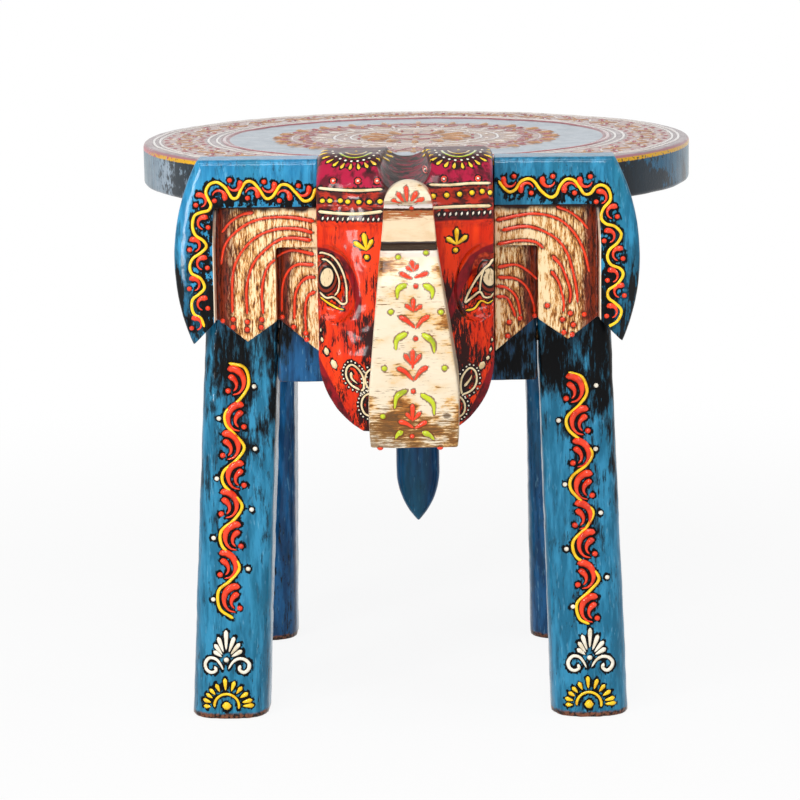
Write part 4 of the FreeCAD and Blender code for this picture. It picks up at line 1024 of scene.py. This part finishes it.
def paint_face(face):
    for line in BAND_LINES:
        face.stroke("cream", line, 1.6)
    for u, v in BAND_DOTS:
        face.dot("yellow", u, v, 2.9)
    for count, (left, level), pitch, rise, width in DASHES:
        for k in range(count):
            start = left + pitch * k
            face.stroke("white", [(start, level), (start + 0.6, level + rise)], width)
    for foot, tips, dot in TEMPLE_FLOWERS:
        for tip in tips:
            face.drop("yellow", foot, tip, 2.7)
        face.dot("yellow", *dot, 2.9)
    for colour, line, width, shape in EYE_LINES:
        face.stroke(colour, line, width, shape)
    for start, end, width in CHEEK_DROPS:
        face.stroke("cream", [start, end], width)
    for outline, heart in PAISLEYS:
        face.stroke("cream", outline, 1.15)
        face.stroke("cream", heart, 1.2, (1.5, 1.0, 0.5))
        middle = Vector([sum(places) / len(outline) for places in zip(*outline)])
        # Fine dots all round it
        for point in smooth_line(outline, 2.1):
            out = point + (point - middle).normalized() * 1.9
            face.dot("white", out.x, out.y, 1.0)


def make_head():
    finish = head_finish("head_finish")
    head = carve("head", "head_block", finish, grain=0.9, uneven=0.3)
    points = points_of(head.data)
    across, up = points[:, 0] - BASE_X, points[:, 2]
    front = np.stack([across, up], 1)
    write_field(head.data, "maroon", np.min([away_from(front, shape) for shape in HEAD_MAROON], 0))
    eyes = [
        np.hypot((across - u - lean * (up - v)) / EYE_HALVES[0], (up - v) / EYE_HALVES[1])
        for (u, v), lean in EYES
    ]
    write_field(head.data, "eye", np.min(eyes, 0))
    cleft = abs(across - CLEFT_MIDDLE) - CLEFT_HALF
    write_field(head.data, "cleft", np.where(up > CLEFT_FOOT, cleft, FAR_OFF))
    face = Side(head, shift=BASE_X)
    paint_face(face)
    # The domes are drawn as they are seen from in front and a little above
    brow = Side(head, 0.8, BASE_X, up=(0, 0.188, 0.982))
    for middle in DOME_MIDDLES:
        paint_dome(brow, middle)
    for u, v, size in BAND_RINGS:
        face.arc("red", (u, v), size * 0.72, 0, 350, 0.9)
        face.dot("white", u, v + 0.1, size * 0.9, 0.9)
    lay_beads(head)


make_head()


# The trunk


# Each flower of the trunk: its upright petal, the two beside it, the spread pair, the commas under
# them and the dot between the commas, as points across and up in mm
TRUNK_FLOWERS = [
    (
        ((4.9, 259.6), (4.0, 263.8)),
        [((4.7, 258.4), (1.2, 260.8)), ((5.2, 258.6), (7.4, 261.7))],
        [[(4.2, 254.9), (1.4, 256.2), (-1.9, 257.9)], [(5.5, 255.4), (8.4, 256.4), (12.3, 257.8)]],
        [[(1.7, 252.2), (-2.6, 250.1), (-3.2, 245.3)], [(9.8, 252.1), (14.1, 249.4), (14.1, 245.2)]],
        (6.1, 251.3),
    ),
    (
        ((4.7, 238.9), (4.8, 245.5)),
        [((4.4, 239.4), (0.8, 242.5)), ((5.4, 239.4), (9.1, 242.1))],
        [[(5.6, 230.9), (1.6, 234.6), (-2.4, 236.8)], [(6.2, 230.9), (9.0, 234.6), (12.8, 237.0)]],
        [[(1.6, 228.5), (-3.4, 225.5), (-4.1, 220.0)], [(9.0, 228.2), (14.2, 224.1), (15.1, 218.6)]],
        (5.9, 225.7),
    ),
    (
        ((4.1, 210.6), (4.3, 220.5)),
        [((3.8, 212.6), (0.2, 218.1)), ((4.6, 212.6), (8.3, 218.0))],
        [[(4.4, 204.9), (0.4, 209.2), (-3.6, 211.3)], [(5.0, 204.9), (8.0, 209.4), (11.9, 211.8)]],
        [[(1.2, 199.9), (-3.8, 196.8), (-5.1, 190.5)], [(8.0, 198.0), (13.9, 193.5), (14.7, 187.1)]],
        (4.3, 199.3),
    ),
    (
        ((3.8, 184.0), (3.9, 192.9)),
        [((3.6, 184.6), (0.5, 188.5)), ((4.4, 184.6), (7.9, 188.8))],
        [[(4.2, 180.6), (0.6, 183.0), (-3.3, 184.1)], [(4.8, 180.4), (8.2, 182.4), (11.0, 184.0)]],
        [[(-0.9, 179.0), (-3.4, 177.6), (-5.0, 175.2)], [(8.4, 178.6), (12.0, 177.0), (14.6, 174.4)]],
        (3.5, 176.4),
    ),
]


# The top flower: an upright petal and two on each side, from foot to tip, with their widths
TOP_PETALS = [
    ((2.2, 292.4), (1.6, 300.4), 2.4),
    ((0.6, 292.2), (-2.8, 297.4), 2.3),
    ((-1.0, 291.6), (-5.6, 293.4), 2.2),
    ((4.0, 292.6), (7.2, 297.8), 2.6),
    ((5.6, 291.8), (10.6, 294.4), 2.4),
]
LIME_DOTS = [
    (-2.6, 265.3), (11.2, 267.3), (-6.4, 239.0), (18.5, 238.7), (-9.9, 211), (20.1, 211),
    (-11.0, 186.7),
]


def make_trunk():
    finish = trunk_finish("trunk_finish")
    trunk = carve(
        "trunk", "trunk", finish, grain=0.8, uneven=0.2, soften=3, front_skin=0.75
    )
    forward = -read_rows(trunk.data.vertex_normals, "vector", 3)[:, 1]
    write_field(trunk.data, "front", (forward * 1.6 - 0.1).clip(0, 1))
    face = Side(trunk, 0.7, BASE_X)
    for start, end, width in TOP_PETALS:
        face.drop("red", start, end, width)
    face.stroke("white", [(-2.6, 291.0), (2.2, 290.6), (6.6, 291.0)], 0.9)
    face.dot("red", 4.2, 288.8, 2.2)
    for upright, beside, spread, commas, dot in TRUNK_FLOWERS:
        face.drop("red", *upright, 2.6)
        for start, end in beside:
            face.drop("red", start, end, 2.2)
        for line in spread:
            face.stroke("red", line, 2.3, (0.45, 0.8, 1.15, 1.1))
        for line in commas:
            face.stroke("lime", line, 2.6, (0.9, 1.25, 0.8, 0.35))
        face.dot("red", *dot, 2.5)
    for u, v in LIME_DOTS:
        face.dot("lime", u, v, 2.9)
    # Two drops of red have run to the lower edge
    below = Side(trunk, 0.7, BASE_X, up=(0, -1, 0))
    for u in (-12.6, 17.4):
        below.dot("red", u, 180.4, 3.4, 0.9)
    lay_beads(trunk)


make_trunk()


# The legs


# The beads on each front leg, across from the head's middle and up from the floor in mm. Each curl has
# the side to which it opens. The foot is where the middle of the foot's flowers is.
LEFT_LEG = {
    "vine": [
        (-95.8, 196.8), (-87.3, 194.2), (-85.5, 185.1), (-90.4, 177), (-97.8, 170.4), (-98, 163.6),
        (-93.4, 158.1), (-88.5, 151.3), (-92.4, 144.6), (-99.9, 137.8), (-100.1, 131), (-93.6, 124.1),
        (-90.4, 118.6), (-94.5, 111.8), (-102, 105), (-101.6, 96.8), (-95, 89.9), (-92.7, 84.3),
        (-98, 77.5), (-104.2, 72), (-103.7, 62.3), (-96.5, 56.7),
    ],
    "curls": [
        (-92.9, 187.2, -1), (-91.9, 167.6, 1), (-96.6, 152.1, -1), (-92.6, 135.7, 1),
        (-98.2, 120.1, -1), (-95, 102.2, 1), (-99.6, 86.5, -1), (-96.4, 67.8, 1),
    ],
    "dots": [
        (-82.5, 184.1), (-101.7, 166.9), (-82.7, 150.2), (-103.6, 134), (-85.3, 117), (-106.2, 101.3),
        (-87.9, 84.2), (-107.2, 67.3),
    ],
    "foot": -100.9,
}
RIGHT_LEG = {
    "vine": [
        (84.5, 190.3), (91.8, 187.6), (94.4, 179.5), (90.4, 172.8), (83.8, 166.1), (84.5, 159.4),
        (90.4, 153.9), (97, 147.1), (94.3, 140.4), (86.4, 133.6), (85.7, 126.8), (91.7, 120),
        (97.6, 114.5), (94.3, 106.3), (87, 98.2), (88.3, 89.9), (95.6, 84.4), (100.7, 77.5),
        (95.6, 70.6), (88.9, 63.8), (90.2, 55.5), (95.6, 52.3),
    ],
    "curls": [
        (86.9, 181.6, -1), (91.4, 164, 1), (90.4, 146.5, -1), (93.6, 128.8, 1), (91.4, 112.5, -1),
        (95, 96.7, 1), (92.9, 79.6, -1), (96.3, 61, 1),
    ],
    "dots": [
        (99.3, 183.1), (79.3, 164.3), (99, 148.7), (82.6, 129.4), (101.7, 113.8), (83.3, 93.9),
        (105.2, 78.1), (86.7, 62.1),
    ],
    "foot": 95.7,
}


# What is painted at a foot, from the fan's knot and the sun's middle: the tips of the fan's petals,
# the two scrolls under it, the tips of the sun's rays, and how high the knot and the sun are
FAN_TIPS = [(-6.9, 5.0), (-6.2, 8.8), (-4.2, 12.8), (0.2, 16.6), (4.6, 12.8), (7.6, 9.2), (8.8, 5.2)]
SCROLLS = [
    [(-1.8, -5.6), (-3.2, -2.6), (-5.6, 0.4), (-9.2, 0.9), (-11.6, -2.2), (-11.0, -5.6), (-8.4, -7.2),
     (-5.8, -6.0), (-6.4, -3.6)],
    [(1.0, -5.2), (3.3, -1.6), (6.4, 0.5), (10.0, 0.1), (12.4, -2.6), (11.6, -5.8), (9.2, -7.2),
     (7.0, -5.6), (7.6, -3.0)],
]
RAY_TIPS = [
    (-12.7, -0.6), (-13.0, 3.1), (-11.2, 6.6), (-9.1, 9.6), (-5.6, 12.4), (-0.7, 15.6), (4.6, 14.0),
    (8.6, 10.9), (11.8, 7.4), (14.0, 3.2), (14.8, 0.0),
]
FAN_LEVEL, SUN_LEVEL = 33.6, 7.6
# How high on a front leg the black is thick under the ear, from soot and painted shade
SOOT_AND_SHADE_LEVEL = 212


def paint_foot(face, middle):
    """A fan of white petals on two scrolls, over half a yellow sun."""
    knot = Vector((middle, FAN_LEVEL))
    face.dot("white", *knot, 3.0)
    for tip in map(Vector, FAN_TIPS):
        face.drop("white", knot + tip * 0.34, knot + tip, 2.7)
    for scroll in SCROLLS:
        swell = (0.5, 0.8, 1.0, 1.1, 1.2, 1.3, 1.2, 1.1, 1.2)
        face.stroke("white", [knot + Vector(point) for point in scroll], 1.8, swell)
    sun = Vector((middle - 0.4, SUN_LEVEL))
    face.arc("yellow", sun, 6.7, -14, 200, 1.5)
    face.dot("yellow", *sun, 6.0, 0.45)
    for tip in map(Vector, RAY_TIPS):
        face.drop("yellow", sun + tip.normalized() * 8.8, sun + tip, 2.6)


def make_leg(word, design, shift, soot, blues):
    name = "leg_" + word
    low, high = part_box(name)
    middle = (low.x + high.x) / 2 / MM
    soot_and_shade_top = SOOT_AND_SHADE_LEVEL if design else None
    finish = blue_enamel(name + "_finish", soot, shift, blues, soot_and_shade_top, middle)
    leg = carve(name, name, finish, grain=1.0, uneven=0.35)
    if design:
        face = Side(leg, shift=BASE_X)
        face.stroke("yellow", design["vine"], 1.7)
        for u, v, hand in design["curls"]:
            face.double_curl("red", (u, v), hand)
        for u, v in design["dots"]:
            face.dot("white", u, v, 2.7)
        paint_foot(face, design["foot"])
    lay_beads(leg)


make_leg("front_left", LEFT_LEG, 0, 0.42, SEA)
make_leg("front_right", RIGHT_LEG, 33, 0.55, SEA)
# The rear legs take the blue darkened as painted shade, with more black
make_leg("rear_left", None, 66, 0.6, SHADED_BLUE)
make_leg("rear_right", None, 99, 0.6, SHADED_BLUE)


# The rails


def paint_rail(face, left, right, middle):
    """A vine with curls in its bends, and white dots over and under it."""
    bends = round((right - left) / 17)
    pitch = (right - left) / bends
    sway = (0, 4.2, 0, -4.2)
    vine = [(left + pitch * k / 2, middle + sway[k % 4]) for k in range(2 * bends + 1)]
    face.stroke("yellow", vine, 1.8)
    for k in range(bends):
        over = 1 if k % 2 else -1
        centre = left + pitch * (k + 0.5)
        face.curl("red", (centre, middle - over * 0.4), 90 * over, over)
        face.dot("white", centre, middle - over * 11.5, 2.4)


def make_rails():
    for word, across, blues, soot_and_shade_top in (
        # The front rail, under the head, takes the blue darkened as painted shade and black that
        # thickens upward from soot and painted shade
        ("front", (1, 0, 0), SHADED_BLUE, 245),
        ("rear", (-1, 0, 0), SEA, None),
        ("left", (0, -1, 0), SEA, None),
        ("right", (0, 1, 0), SEA, None),
    ):
        name = "rail_" + word
        finish = blue_enamel(name + "_finish", 0.95, 120, blues, soot_and_shade_top)
        rail = carve(name, name, finish, grain=1.5, soften=3, uneven=0.3)
        if word != "front":
            low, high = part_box(name)
            ends = sorted(Vector(across) @ corner / MM for corner in (low, high))
            face = Side(rail, 1.6, across=across)
            paint_rail(face, ends[0] + 16, ends[1] - 16, (low.z + high.z) / 2 / MM)
        lay_beads(rail)


make_rails()


# The tail


def make_tail():
    # The tail takes the blue darkened as painted shade
    finish = blue_enamel("tail_finish", 0.7, 150, SHADED_BLUE)
    tail = carve("tail", "tail", finish, grain=0.9, uneven=0.25)
    lay_beads(tail)


make_tail()


# The seat


# How round the worn rims are, and how far the painted board lies inside the bare one round its rim
# and over its underside, in mm
RIM_ROUND, INSIDE, LIFT = 2.4, 0.4, 0.3
# The rings: colour, radius as a share of the seat's, and width in mm
SEAT_RINGS = [
    ("bone", 0.958, 1.7), ("bone", 0.936, 1.5), ("bone", 0.760, 1.6), ("bone", 0.729, 1.5),
    ("rose", 0.702, 2.2), ("bone", 0.300, 1.6), ("bone", 0.240, 1.4), ("rose", 0.455, 1.3),
]
# How often the border's stem bends, its radius and its sway as shares of the seat's radius, and how
# many leaves and petals the flower in the middle has
BENDS, STEM, SWAY = 60, 0.848, 0.030
LEAVES, PETALS = 24, 12


def shape_board():
    """A worn round board: a disc raised, rounded, ringed, and cut flat where the head meets it."""
    board = bmesh.new()
    bmesh.ops.create_circle(
        board,
        cap_ends=True,
        radius=(SEAT_RADIUS - INSIDE) * MM,
        segments=480,
        matrix=Matrix.Translation((0, SEAT_AXIS * MM, (SEAT_UNDER + LIFT) * MM)),
    )
    grown = bmesh.ops.extrude_face_region(board, geom=board.faces[:])
    top = [item for item in grown["geom"] if isinstance(item, bmesh.types.BMVert)]
    bmesh.ops.translate(board, verts=top, vec=(0, 0, (SEAT_TOP - SEAT_UNDER - INSIDE - LIFT) * MM))
    rims = [e for e in board.edges if len({round(v.co.z, 6) for v in e.verts}) == 1]
    bmesh.ops.bevel(
        board, geom=rims, offset=RIM_ROUND * MM, segments=4, profile=0.5, affect="EDGES", material=-1,
        clamp_overlap=True,
    )
    upper = max(board.faces, key=lambda face: (round(face.calc_center_median().z, 6), face.calc_area()))
    rings = 140
    step = (SEAT_RADIUS - 3) / (rings + 1) * MM
    for _ in range(rings):
        bmesh.ops.inset_region(board, faces=[upper], thickness=step, use_even_offset=True)
    bmesh.ops.poke(board, faces=[upper])
    bmesh.ops.recalc_face_normals(board, faces=board.faces[:])
    bmesh.ops.bisect_plane(
        board,
        geom=board.verts[:] + board.edges[:] + board.faces[:],
        plane_co=(0, (SEAT_FRONT + INSIDE) * MM, 0),
        plane_no=(0, -1, 0),
        clear_outer=True,
    )
    bmesh.ops.holes_fill(board, edges=[e for e in board.edges if e.is_boundary], sides=0)
    board.normal_update()
    for vert in board.verts:
        sway = noise.noise(vert.co * 45) * 0.3 + noise.noise(vert.co * 160) * 0.1
        vert.co -= vert.normal * ((0.15 + sway) * MM)
    mesh = bpy.data.meshes.new("seat_board")
    board.to_mesh(mesh)
    board.free()
    return mesh


def paint_seat(face):
    at = Vector((0, SEAT_AXIS))

    def ring(colour, share, width):
        face.arc(colour, at, share * SEAT_RADIUS, -90, 360, width)

    def spoke(angle, share):
        return at + Vector((math.cos(angle), math.sin(angle))) * (share * SEAT_RADIUS)

    for colour, share, width in SEAT_RINGS:
        ring(colour, share, width)
    # Border: a wavy stem with a flower in every bend and leaves between
    turns = [2 * math.pi * k / BENDS for k in range(BENDS + 1)]
    stem = [spoke(turn, STEM + (SWAY if k % 2 else -SWAY)) for k, turn in enumerate(turns)]
    face.stroke("ochre", stem, 1.6)
    for k, turn in enumerate(turns[:-1]):
        outer = -1 if k % 2 else 1
        heart = spoke(turn, STEM + outer * 0.022)
        face.dot("rose", *heart, 2.6)
        for petal in range(5):
            lean = turn + math.pi * (0 if outer > 0 else 1) + math.radians(-80 + 40 * petal)
            ray = Vector((math.cos(lean), math.sin(lean)))
            face.drop("bone" if petal % 2 else "ochre", heart + ray * 1.9, heart + ray * 5.4, 2.0)
        for lean in (-0.035, 0.035):
            start = spoke(turn + lean, STEM - outer * 0.050)
            face.drop("rose", start, spoke(turn + lean * 1.6, STEM - outer * 0.074), 1.8)
    # Leaves that reach into the plain band, and the flower inside
    for k in range(LEAVES):
        turn = 2 * math.pi * k / LEAVES
        between = turn + math.pi / LEAVES
        face.drop("ochre", spoke(turn, 0.462), spoke(turn, 0.528), 4.4)
        face.drop("rose", spoke(between, 0.462), spoke(between, 0.503), 3.0)
        face.drop("bone", spoke(turn, 0.325), spoke(turn, 0.375), 2.6)
        hoop = [(-0.10, 0.435), (-0.06, 0.395), (0.0, 0.385), (0.06, 0.395), (0.10, 0.435)]
        face.stroke("rose", [spoke(turn + lean, share) for lean, share in hoop], 1.4)
        face.dot("ochre", *spoke(turn, 0.418), 2.6)
    for k in range(PETALS):
        turn = 2 * math.pi * k / PETALS
        between = turn + math.pi / PETALS
        face.drop("ochre", spoke(turn, 0.10), spoke(turn, 0.205), 5.2)
        face.dot("rose", *spoke(between, 0.215), 2.2)
        face.dot("bone", *spoke(between, 0.268), 2.4)
    ring("rose", 0.085, 1.6)
    face.dot("ochre", *at, 8.0, 0.3)


def make_seat():
    mesh = shape_board()
    seat = add_piece("seat_board_painted", mesh, seat_finish("seat_finish"))
    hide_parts("seat_board_left", "seat_board_middle", "seat_board_right")
    paint_seat(Side(seat, 2.0, up=(0, 1, 0)))
    write_crest(mesh)
    lay_beads(seat)


make_seat()


# Joinery that the wood hides


wood, steel = bare_wood("joinery_wood"), screw_steel("joinery_steel")
for name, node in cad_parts.items():
    if "dowels" in name or "screw" in name or "nails" in name:
        node.data.materials.clear()
        node.data.materials.append(wood if "dowels" in name else steel)


# Floor, light and camera


def seen_direct(nodes, links):
    """1 where the eye sees a surface itself, mirrored or through glass, and 0 where it gives light."""
    path = nodes.new("ShaderNodeLightPath")
    seen = path.outputs["Is Camera Ray"]
    for way in ("Is Glossy Ray", "Is Transmission Ray"):
        either = nodes.new("ShaderNodeMath")
        either.operation = "MAXIMUM"
        links.new(seen, either.inputs[0])
        links.new(path.outputs[way], either.inputs[1])
        seen = either.outputs[0]
    return seen


def make_floor():
    """A white sweep that keeps a faint shadow of the stool."""
    ground = bmesh.new()
    bmesh.ops.create_grid(ground, x_segments=8, y_segments=8, size=6.0)
    mesh = bpy.data.meshes.new("floor")
    ground.to_mesh(mesh)
    ground.free()
    floor = set_up("floor", mesh)
    f = Finish("floor_finish")
    f.colour = "F4F3F2"
    f.done(0.6, 0.0, specular=0.1)
    white = f.node("ShaderNodeEmission", {}, {"Color": (1, 1, 1, 1), "Strength": 1.0})
    # The shadow shows near the stool only: further off the sweep is plain white
    far = (f.x * f.x + f.y * f.y).sum("SQRT").rise(330, 900)
    share = Value(f, seen_direct(f.nodes, f.links)) * (far * 0.1 + 0.9)
    shown = f.node("ShaderNodeMixShader", {}, {0: share, 1: Value(f, f.surface.outputs[0]), 2: white})
    f.links.new(shown.socket, f.nodes["Material Output"].inputs["Surface"])
    mesh.materials.append(f.material)


# The lamps: name, place and size in m, power in W and colour. All of them look at the same point.
LAMPS = [
    ("lamp_key", (-1.1, -1.35, 1.15), (0.3, 0.6), 8.5, (1.0, 0.99, 0.975)),
    ("lamp_front", (-0.05, -1.45, 0.95), (0.45, 0.25), 5.0, (1.0, 1.0, 1.0)),
    ("lamp_over", (0.0, -0.85, 1.3), (0.6, 0.4), 5.6, (1.0, 1.0, 1.0)),
    ("lamp_edge", (-0.6, -1.25, 0.24), (0.1, 0.42), 3.6, (1.0, 1.0, 1.0)),
    ("lamp_right", (1.5, -0.7, 0.8), (0.3, 0.5), 3.0, (0.97, 0.98, 1.0)),
]
LAMP_AIM = Vector((0, -0.02, 0.2))
ROOM_COLOUR, ROOM_STRENGTH = (0.95, 0.97, 1.0, 1), 0.40

# The camera as it was fitted to the seat's ellipse, the legs and the feet: place in m, how far it
# is turned, tilted down and rolled in degrees, and its lens and sensor in mm
CAMERA_AT = (0.03657 + BASE_X * MM, -1.669, 0.47907)
CAMERA_TURN, CAMERA_TILT, CAMERA_ROLL = 1.5, 10.816, -0.758
LENS, SENSOR = 136.57, 36.0


def make_light():
    world = bpy.data.worlds.new("studio")
    bpy.context.scene.world = world
    world.use_nodes = True
    nodes, links = world.node_tree.nodes, world.node_tree.links
    room = nodes["Background"]
    room.inputs["Color"].default_value = ROOM_COLOUR
    room.inputs["Strength"].default_value = ROOM_STRENGTH
    white = nodes.new("ShaderNodeBackground")
    white.inputs["Color"].default_value = (1, 1, 1, 1)
    white.inputs["Strength"].default_value = 1.0
    mixed = nodes.new("ShaderNodeMixShader")
    links.new(seen_direct(nodes, links), mixed.inputs[0])
    links.new(room.outputs[0], mixed.inputs[1])
    links.new(white.outputs[0], mixed.inputs[2])
    links.new(mixed.outputs[0], nodes["World Output"].inputs["Surface"])

    for name, place, size, power, colour in LAMPS:
        lamp = bpy.data.lights.new(name, "AREA")
        lamp.shape = "RECTANGLE"
        lamp.size, lamp.size_y = size
        lamp.energy, lamp.color = power, colour
        holder = set_up(name, lamp)
        look = (LAMP_AIM - Vector(place)).to_track_quat("-Z", "Y").to_matrix().to_4x4()
        holder.matrix_world = Matrix.Translation(place) @ look


def make_camera():
    lens = bpy.data.cameras.new("camera")
    lens.lens, lens.sensor_width = LENS, SENSOR
    lens.clip_start, lens.clip_end = 0.05, 20.0
    camera = set_up("camera", lens)
    turn = (
        Matrix.Rotation(math.radians(CAMERA_TURN), 4, "Z")
        @ Matrix.Rotation(math.radians(90 - CAMERA_TILT), 4, "X")
        @ Matrix.Rotation(math.radians(CAMERA_ROLL), 4, "Z")
    )
    camera.matrix_world = Matrix.Translation(CAMERA_AT) @ turn
    bpy.context.scene.camera = camera


make_floor()
make_light()
make_camera()
bpy.context.scene.view_settings.view_transform = "Standard"
